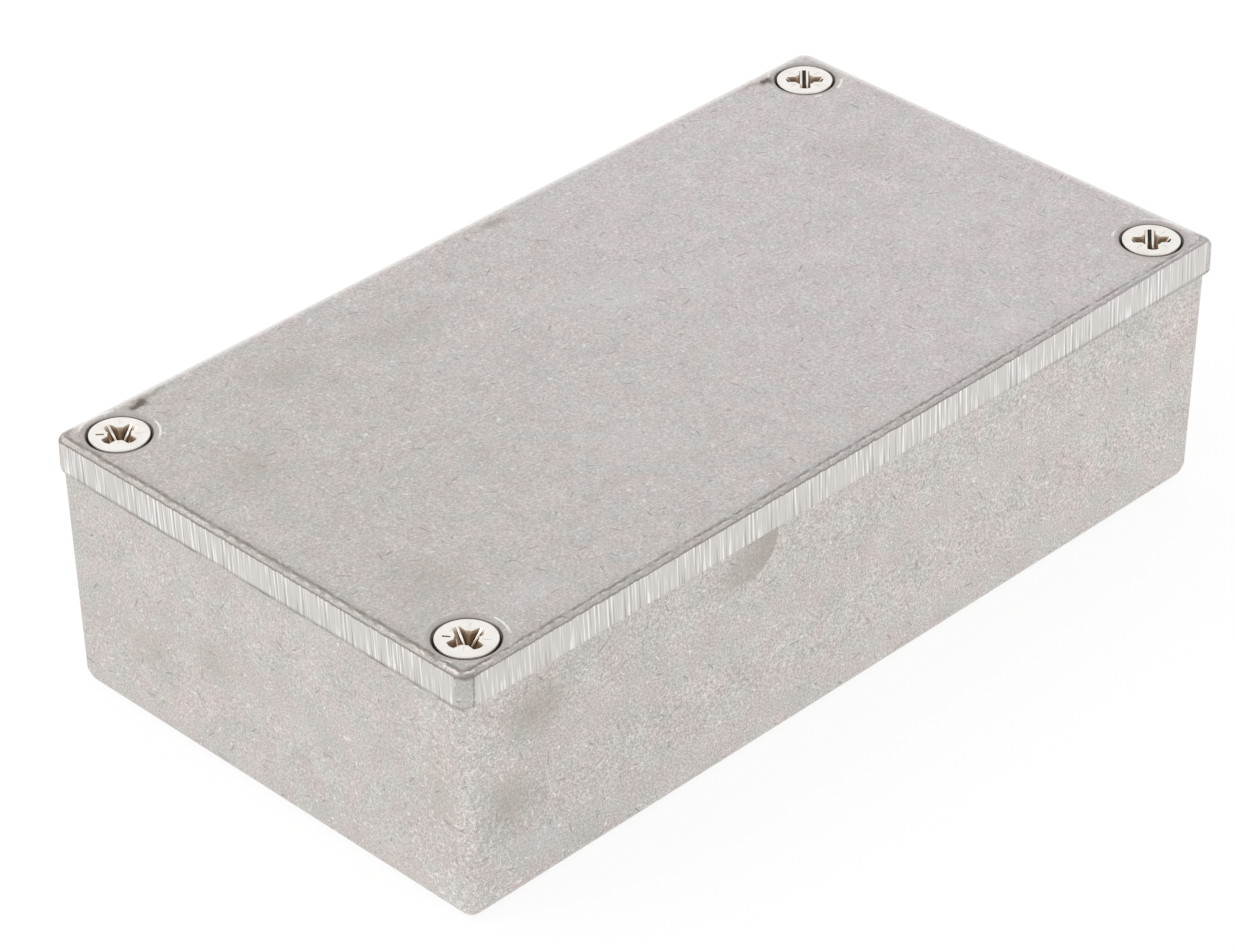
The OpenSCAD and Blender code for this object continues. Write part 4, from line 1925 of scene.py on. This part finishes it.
@dataclass(frozen=True)
class NickelFinish:
    """Nickel plate on the screws, bright on top and brown with patina down in the recess, with painted
    highlights on polished faces and painted shade in the arms' deep grooves.
    """

    tone: Colour = (0.90, 0.872, 0.83, 1.0)
    dull_tone: Colour = (0.82, 0.79, 0.74, 1.0)
    polished_highlight_tone: Colour = (1.0, 0.97, 0.92, 1.0)
    stained_tone: Colour = (0.74, 0.64, 0.53, 1.0)
    brown_tone: Colour = (0.43, 0.32, 0.22, 1.0)
    groove_shade_tone: Colour = (0.055, 0.048, 0.042, 1.0)
    deep_groove_tone: Colour = (0.12, 0.09, 0.07, 1.0)
    roughness: float = 0.26
    recess_roughness: float = 0.5
    bump: float = 0.3
    bump_height: float = 0.01 * MM
    grain_share: float = 2.0
    dull_span: tuple[float, float] = (0.4, 0.75)
    unevenness: float = 0.9
    brown_depth: float = 0.5
    deep_groove_span: tuple[float, float] = (0.9, 1.4)
    polished_highlight_level: tuple[float, float] = (0.02, 0.08)
    brown_level: tuple[float, float] = (0.2, 0.4)
    black_level: tuple[float, float] = (0.7, 0.9)

    def build(self, effects: Effects) -> bpy.types.Material:
        """Makes the material.

        Args:
            effects: The shared effects.

        Returns:
            The material.
        """
        _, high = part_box("lid_screws")
        material, sheet, shader = new_material("Nickel plate")
        place = sheet.place_in_mm()
        grain = effects.grain.place(sheet, Place=sheet.scaled(place, self.grain_share), Density=0.0)
        _, _, z = sheet.split(place)
        depth = sheet.math("SUBTRACT", high.z * PER_MM, z)
        face_tone = sheet.add("ShaderNodeAttribute", attribute_name="face_tone").outputs["Fac"]
        colour = sheet.blend(sheet.ramp(grain["Mottle"], *self.dull_span), self.tone, self.dull_tone)
        uneven = sheet.math("MULTIPLY_ADD", grain["Grain"], self.unevenness, -self.unevenness / 2)
        deep = sheet.ramp(sheet.math("ADD", depth, uneven), 0.0, self.brown_depth)
        brown = sheet.blend(deep, self.stained_tone, self.brown_tone)
        # Partly painted highlight: the polished faces are painted near white.
        colour = sheet.blend(sheet.ramp(face_tone, *self.polished_highlight_level), colour, self.polished_highlight_tone)
        colour = sheet.blend(sheet.ramp(face_tone, *self.brown_level), colour, brown)
        # Painted shade: the deep grooves are near black, a little browner towards their bottom.
        black = sheet.blend(sheet.ramp(depth, *self.deep_groove_span), self.groove_shade_tone, self.deep_groove_tone)
        colour = sheet.blend(sheet.ramp(face_tone, *self.black_level), colour, black)
        sheet.feed(shader.inputs["Base Color"], colour)
        tarnished = sheet.ramp(face_tone, *self.brown_level)
        rough = sheet.mix_value(tarnished, self.roughness, self.recess_roughness)
        sheet.feed(shader.inputs["Roughness"], rough)
        bump = sheet.add("ShaderNodeBump")
        bump.inputs["Strength"].default_value = self.bump
        bump.inputs["Distance"].default_value = self.bump_height
        sheet.feed(bump.inputs["Height"], grain["Height"])
        sheet.feed(shader.inputs["Normal"], bump.outputs["Normal"])
        shader.inputs["Metallic"].default_value = 1.0
        return material


# ---------------------------------------------------------------------------
# Studio
# ---------------------------------------------------------------------------


@dataclass(frozen=True)
class Viewpoint:
    """Where the camera stands and what it looks at."""

    azimuth: float = 45.011
    elevation: float = 33.827
    roll: float = -0.519
    distance: float = 507.78 * MM
    target: tuple[float, float, float] = (-8.441 * MM, -3.324 * MM, 18.585 * MM)
    lens: float = 140.98
    sensor: float = 36.0
    nearest: float = 10.0 * MM

    def build(self) -> bpy.types.Object:
        """Adds the camera and makes it the scene's.

        Returns:
            The camera object.
        """
        turn, lift, roll = (math.radians(v) for v in (self.azimuth, self.elevation, self.roll))
        ahead = Vector((math.sin(turn) * math.cos(lift), math.cos(turn) * math.cos(lift), -math.sin(lift)))
        right = Vector((math.cos(turn), -math.sin(turn), 0))
        up = right.cross(ahead)
        leaned_right = right * math.cos(roll) + up * math.sin(roll)
        leaned_up = up * math.cos(roll) - right * math.sin(roll)
        basis = Matrix((leaned_right, leaned_up, -ahead)).transposed().to_4x4()
        data = bpy.data.cameras.new("camera")
        data.lens = self.lens
        data.sensor_width = self.sensor
        data.clip_start = self.nearest
        camera = bpy.data.objects.new("camera", data)
        bpy.context.scene.collection.objects.link(camera)
        camera.matrix_world = Matrix.Translation(Vector(self.target) - ahead * self.distance) @ basis
        bpy.context.scene.camera = camera
        return camera


@dataclass(frozen=True)
class SoftLamp:
    """One large square lamp that points at the object."""

    name: str
    place: tuple[float, float, float]
    size: float
    power: float
    colour: tuple[float, float, float] = (1.0, 1.0, 1.0)

    def build(self) -> bpy.types.Object:
        """Adds the lamp.

        Returns:
            The lamp object.
        """
        data = bpy.data.lights.new(self.name, "AREA")
        data.size = self.size
        data.energy = self.power
        data.color = self.colour
        lamp = bpy.data.objects.new(self.name, data)
        bpy.context.scene.collection.objects.link(lamp)
        lamp.location = self.place
        lamp.rotation_euler = (-Vector(self.place)).to_track_quat("-Z", "Y").to_euler()
        return lamp


@dataclass(frozen=True)
class Studio:
    """A white sweep of floor under a pale even sky, with soft lamps."""

    floor_size: float = 4.0
    floor_drop: float = 0.02 * MM
    sky: float = 0.97
    horizon: float = 1.12
    zenith_loss: float = 0.30
    slant: tuple[float, float, float] = (-0.06, 0.19, 0.0)
    floor_tone: Colour = (0.80, 0.80, 0.80, 1.0)
    glow: float = 0.86
    shown: float = 0.16

    def build(self) -> None:
        """Sets the floor, the world, the lamps and the view transform."""
        bpy.ops.object.select_all(action="DESELECT")
        bpy.ops.mesh.primitive_plane_add(size=self.floor_size, location=(0, 0, -self.floor_drop))
        floor = bpy.context.active_object
        floor.name = "floor"
        floor.data.materials.append(self._floor_material())
        self._world()
        for lamp in (
            SoftLamp("key", (-0.9, 0.6, 1.1), 0.9, 4.0),
            SoftLamp("fill", (0.3, -1.2, 0.6), 0.9, 1.2),
        ):
            lamp.build()
        bpy.context.scene.view_settings.view_transform = "Standard"

    def _seen(self, sheet: NodeSheet) -> Socket:
        """1 for the camera and for what metal mirrors, 0 for light on the object."""
        path = sheet.add("ShaderNodeLightPath")
        mirrored = sheet.math("MAXIMUM", path.outputs["Is Glossy Ray"], path.outputs["Is Transmission Ray"])
        return sheet.math("MAXIMUM", path.outputs["Is Camera Ray"], mirrored)

    def _floor_material(self) -> bpy.types.Material:
        """White where it is seen, with the object's shadow kept."""
        material = bpy.data.materials.new("floor")
        material.use_nodes = True
        material.node_tree.nodes.clear()
        sheet = NodeSheet(material.node_tree)
        matt = sheet.add("ShaderNodeBsdfDiffuse")
        matt.inputs["Color"].default_value = self.floor_tone
        seen = self._seen(sheet)
        glow = sheet.add("ShaderNodeEmission")
        sheet.feed(glow.inputs["Strength"], sheet.math("MULTIPLY", seen, self.glow))
        dimmed = sheet.add("ShaderNodeBsdfDiffuse")
        dimmed.inputs["Color"].default_value = (self.shown, self.shown, self.shown, 1.0)
        lit = sheet.add("ShaderNodeAddShader")
        sheet.feed(lit.inputs[0], dimmed.outputs[0])
        sheet.feed(lit.inputs[1], glow.outputs[0])
        mixed = sheet.add("ShaderNodeMixShader")
        sheet.feed(mixed.inputs[0], seen)
        sheet.feed(mixed.inputs[1], matt.outputs[0])
        sheet.feed(mixed.inputs[2], lit.outputs[0])
        sheet.feed(sheet.add("ShaderNodeOutputMaterial").inputs["Surface"], mixed.outputs[0])
        return material

    def _world(self) -> None:
        """A pale sky that the camera sees as white."""
        world = bpy.data.worlds.new("studio")
        bpy.context.scene.world = world
        world.use_nodes = True
        world.node_tree.nodes.clear()
        sheet = NodeSheet(world.node_tree)
        sky = sheet.add("ShaderNodeBackground")
        sky.inputs["Color"].default_value = WHITE
        path = sheet.add("ShaderNodeLightPath")
        way = sheet.add("ShaderNodeTexCoord").outputs["Generated"]
        x, y, z = sheet.split(way)
        level = sheet.math("MULTIPLY_ADD", sheet.math("MAXIMUM", z, 0), -self.zenith_loss, self.horizon)
        level = sheet.math("MULTIPLY_ADD", x, self.slant[0], level)
        level = sheet.math("MULTIPLY_ADD", y, self.slant[1], level)
        light = sheet.math("MULTIPLY", level, self.sky)
        sheet.feed(sky.inputs["Strength"], sheet.mix_value(path.outputs["Is Camera Ray"], light, 1.0))
        sheet.feed(sheet.add("ShaderNodeOutputWorld").inputs["Surface"], sky.outputs[0])


# ---------------------------------------------------------------------------
# The whole object
# ---------------------------------------------------------------------------


@dataclass
class ScrewSet:
    """The four screws in two versions, which differ in one deeper mark and in painted shade in their
    grooves, each modelled once and copied to its corners.
    """

    names: tuple[str, ...] = ("screw_front", "screw_left", "screw_right", "screw_far")
    turns: tuple[float, ...] = (-8.0, 3.0, 225.0, 225.0)
    # The right and far screws keep near-black painted shade in their grooves. On the front and left screws
    # it is capped at brown.
    darkest: tuple[FaceTone, ...] = (FaceTone.BROWN, FaceTone.BROWN, FaceTone.BLACK, FaceTone.BLACK)

    def build(self, pattern: ScrewPattern) -> list[bpy.types.Object]:
        """Models the screws.

        Args:
            pattern: Where the screws stand.

        Returns:
            The four screws, each with a mesh of its own.
        """
        _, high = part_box("lid_screws")
        masters = {FaceTone.BROWN: Screw().build(), FaceTone.BLACK: Screw(mark_turn=None).build()}
        screws = []
        for name, turn, darkest, (x, y) in zip(self.names, self.turns, self.darkest, pattern.places()):
            screw = copy_piece(masters[darkest], name)
            move_piece(screw, (x, y, high.z), turn)
            for face in screw.data.attributes["face_tone"].data:
                # Caps each face's tone, so the grooves' painted shade stays only where the darkest level
                # allows it.
                face.value = min(face.value, darkest.value)
            screws.append(screw)
        for master in masters.values():
            bpy.data.objects.remove(master)
        return screws


def dress(
    piece: bpy.types.Object, material: bpy.types.Material, body: str, node: str
) -> None:
    """Gives a piece its finish and its place in the frame.

    Args:
        piece: The finished piece.
        material: Its material.
        body: The body that it rides on.
        node: The node that it stands for.
    """
    piece.data.materials.clear()
    piece.data.materials.append(material)
    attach(piece, body)
    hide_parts(node)
    LOG.info("%s: %d faces, on %s", piece.name, len(piece.data.polygons), body)


def main() -> None:
    """Builds the studio, the castings and the screws."""
    logging.basicConfig(level=logging.INFO, format="%(message)s")
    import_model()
    bpy.ops.object.select_all(action="DESELECT")
    Viewpoint().build()
    Studio().build()
    pattern = ScrewPattern()
    effects = Effects(
        CastGrain().build(), FaceMap().build(), Scratches().build(), RimInset().build()
    )
    dress(BoxCasting().build(pattern), BoxFinish().build(effects), "box", "box")
    dress(LidCasting().build(pattern), LidFinish().build(effects), "lid", "lid")
    nickel = NickelFinish().build(effects)
    for screw in ScrewSet().build(pattern):
        dress(screw, nickel, "screws", "lid_screws")


if __name__ == "__main__":
    main()
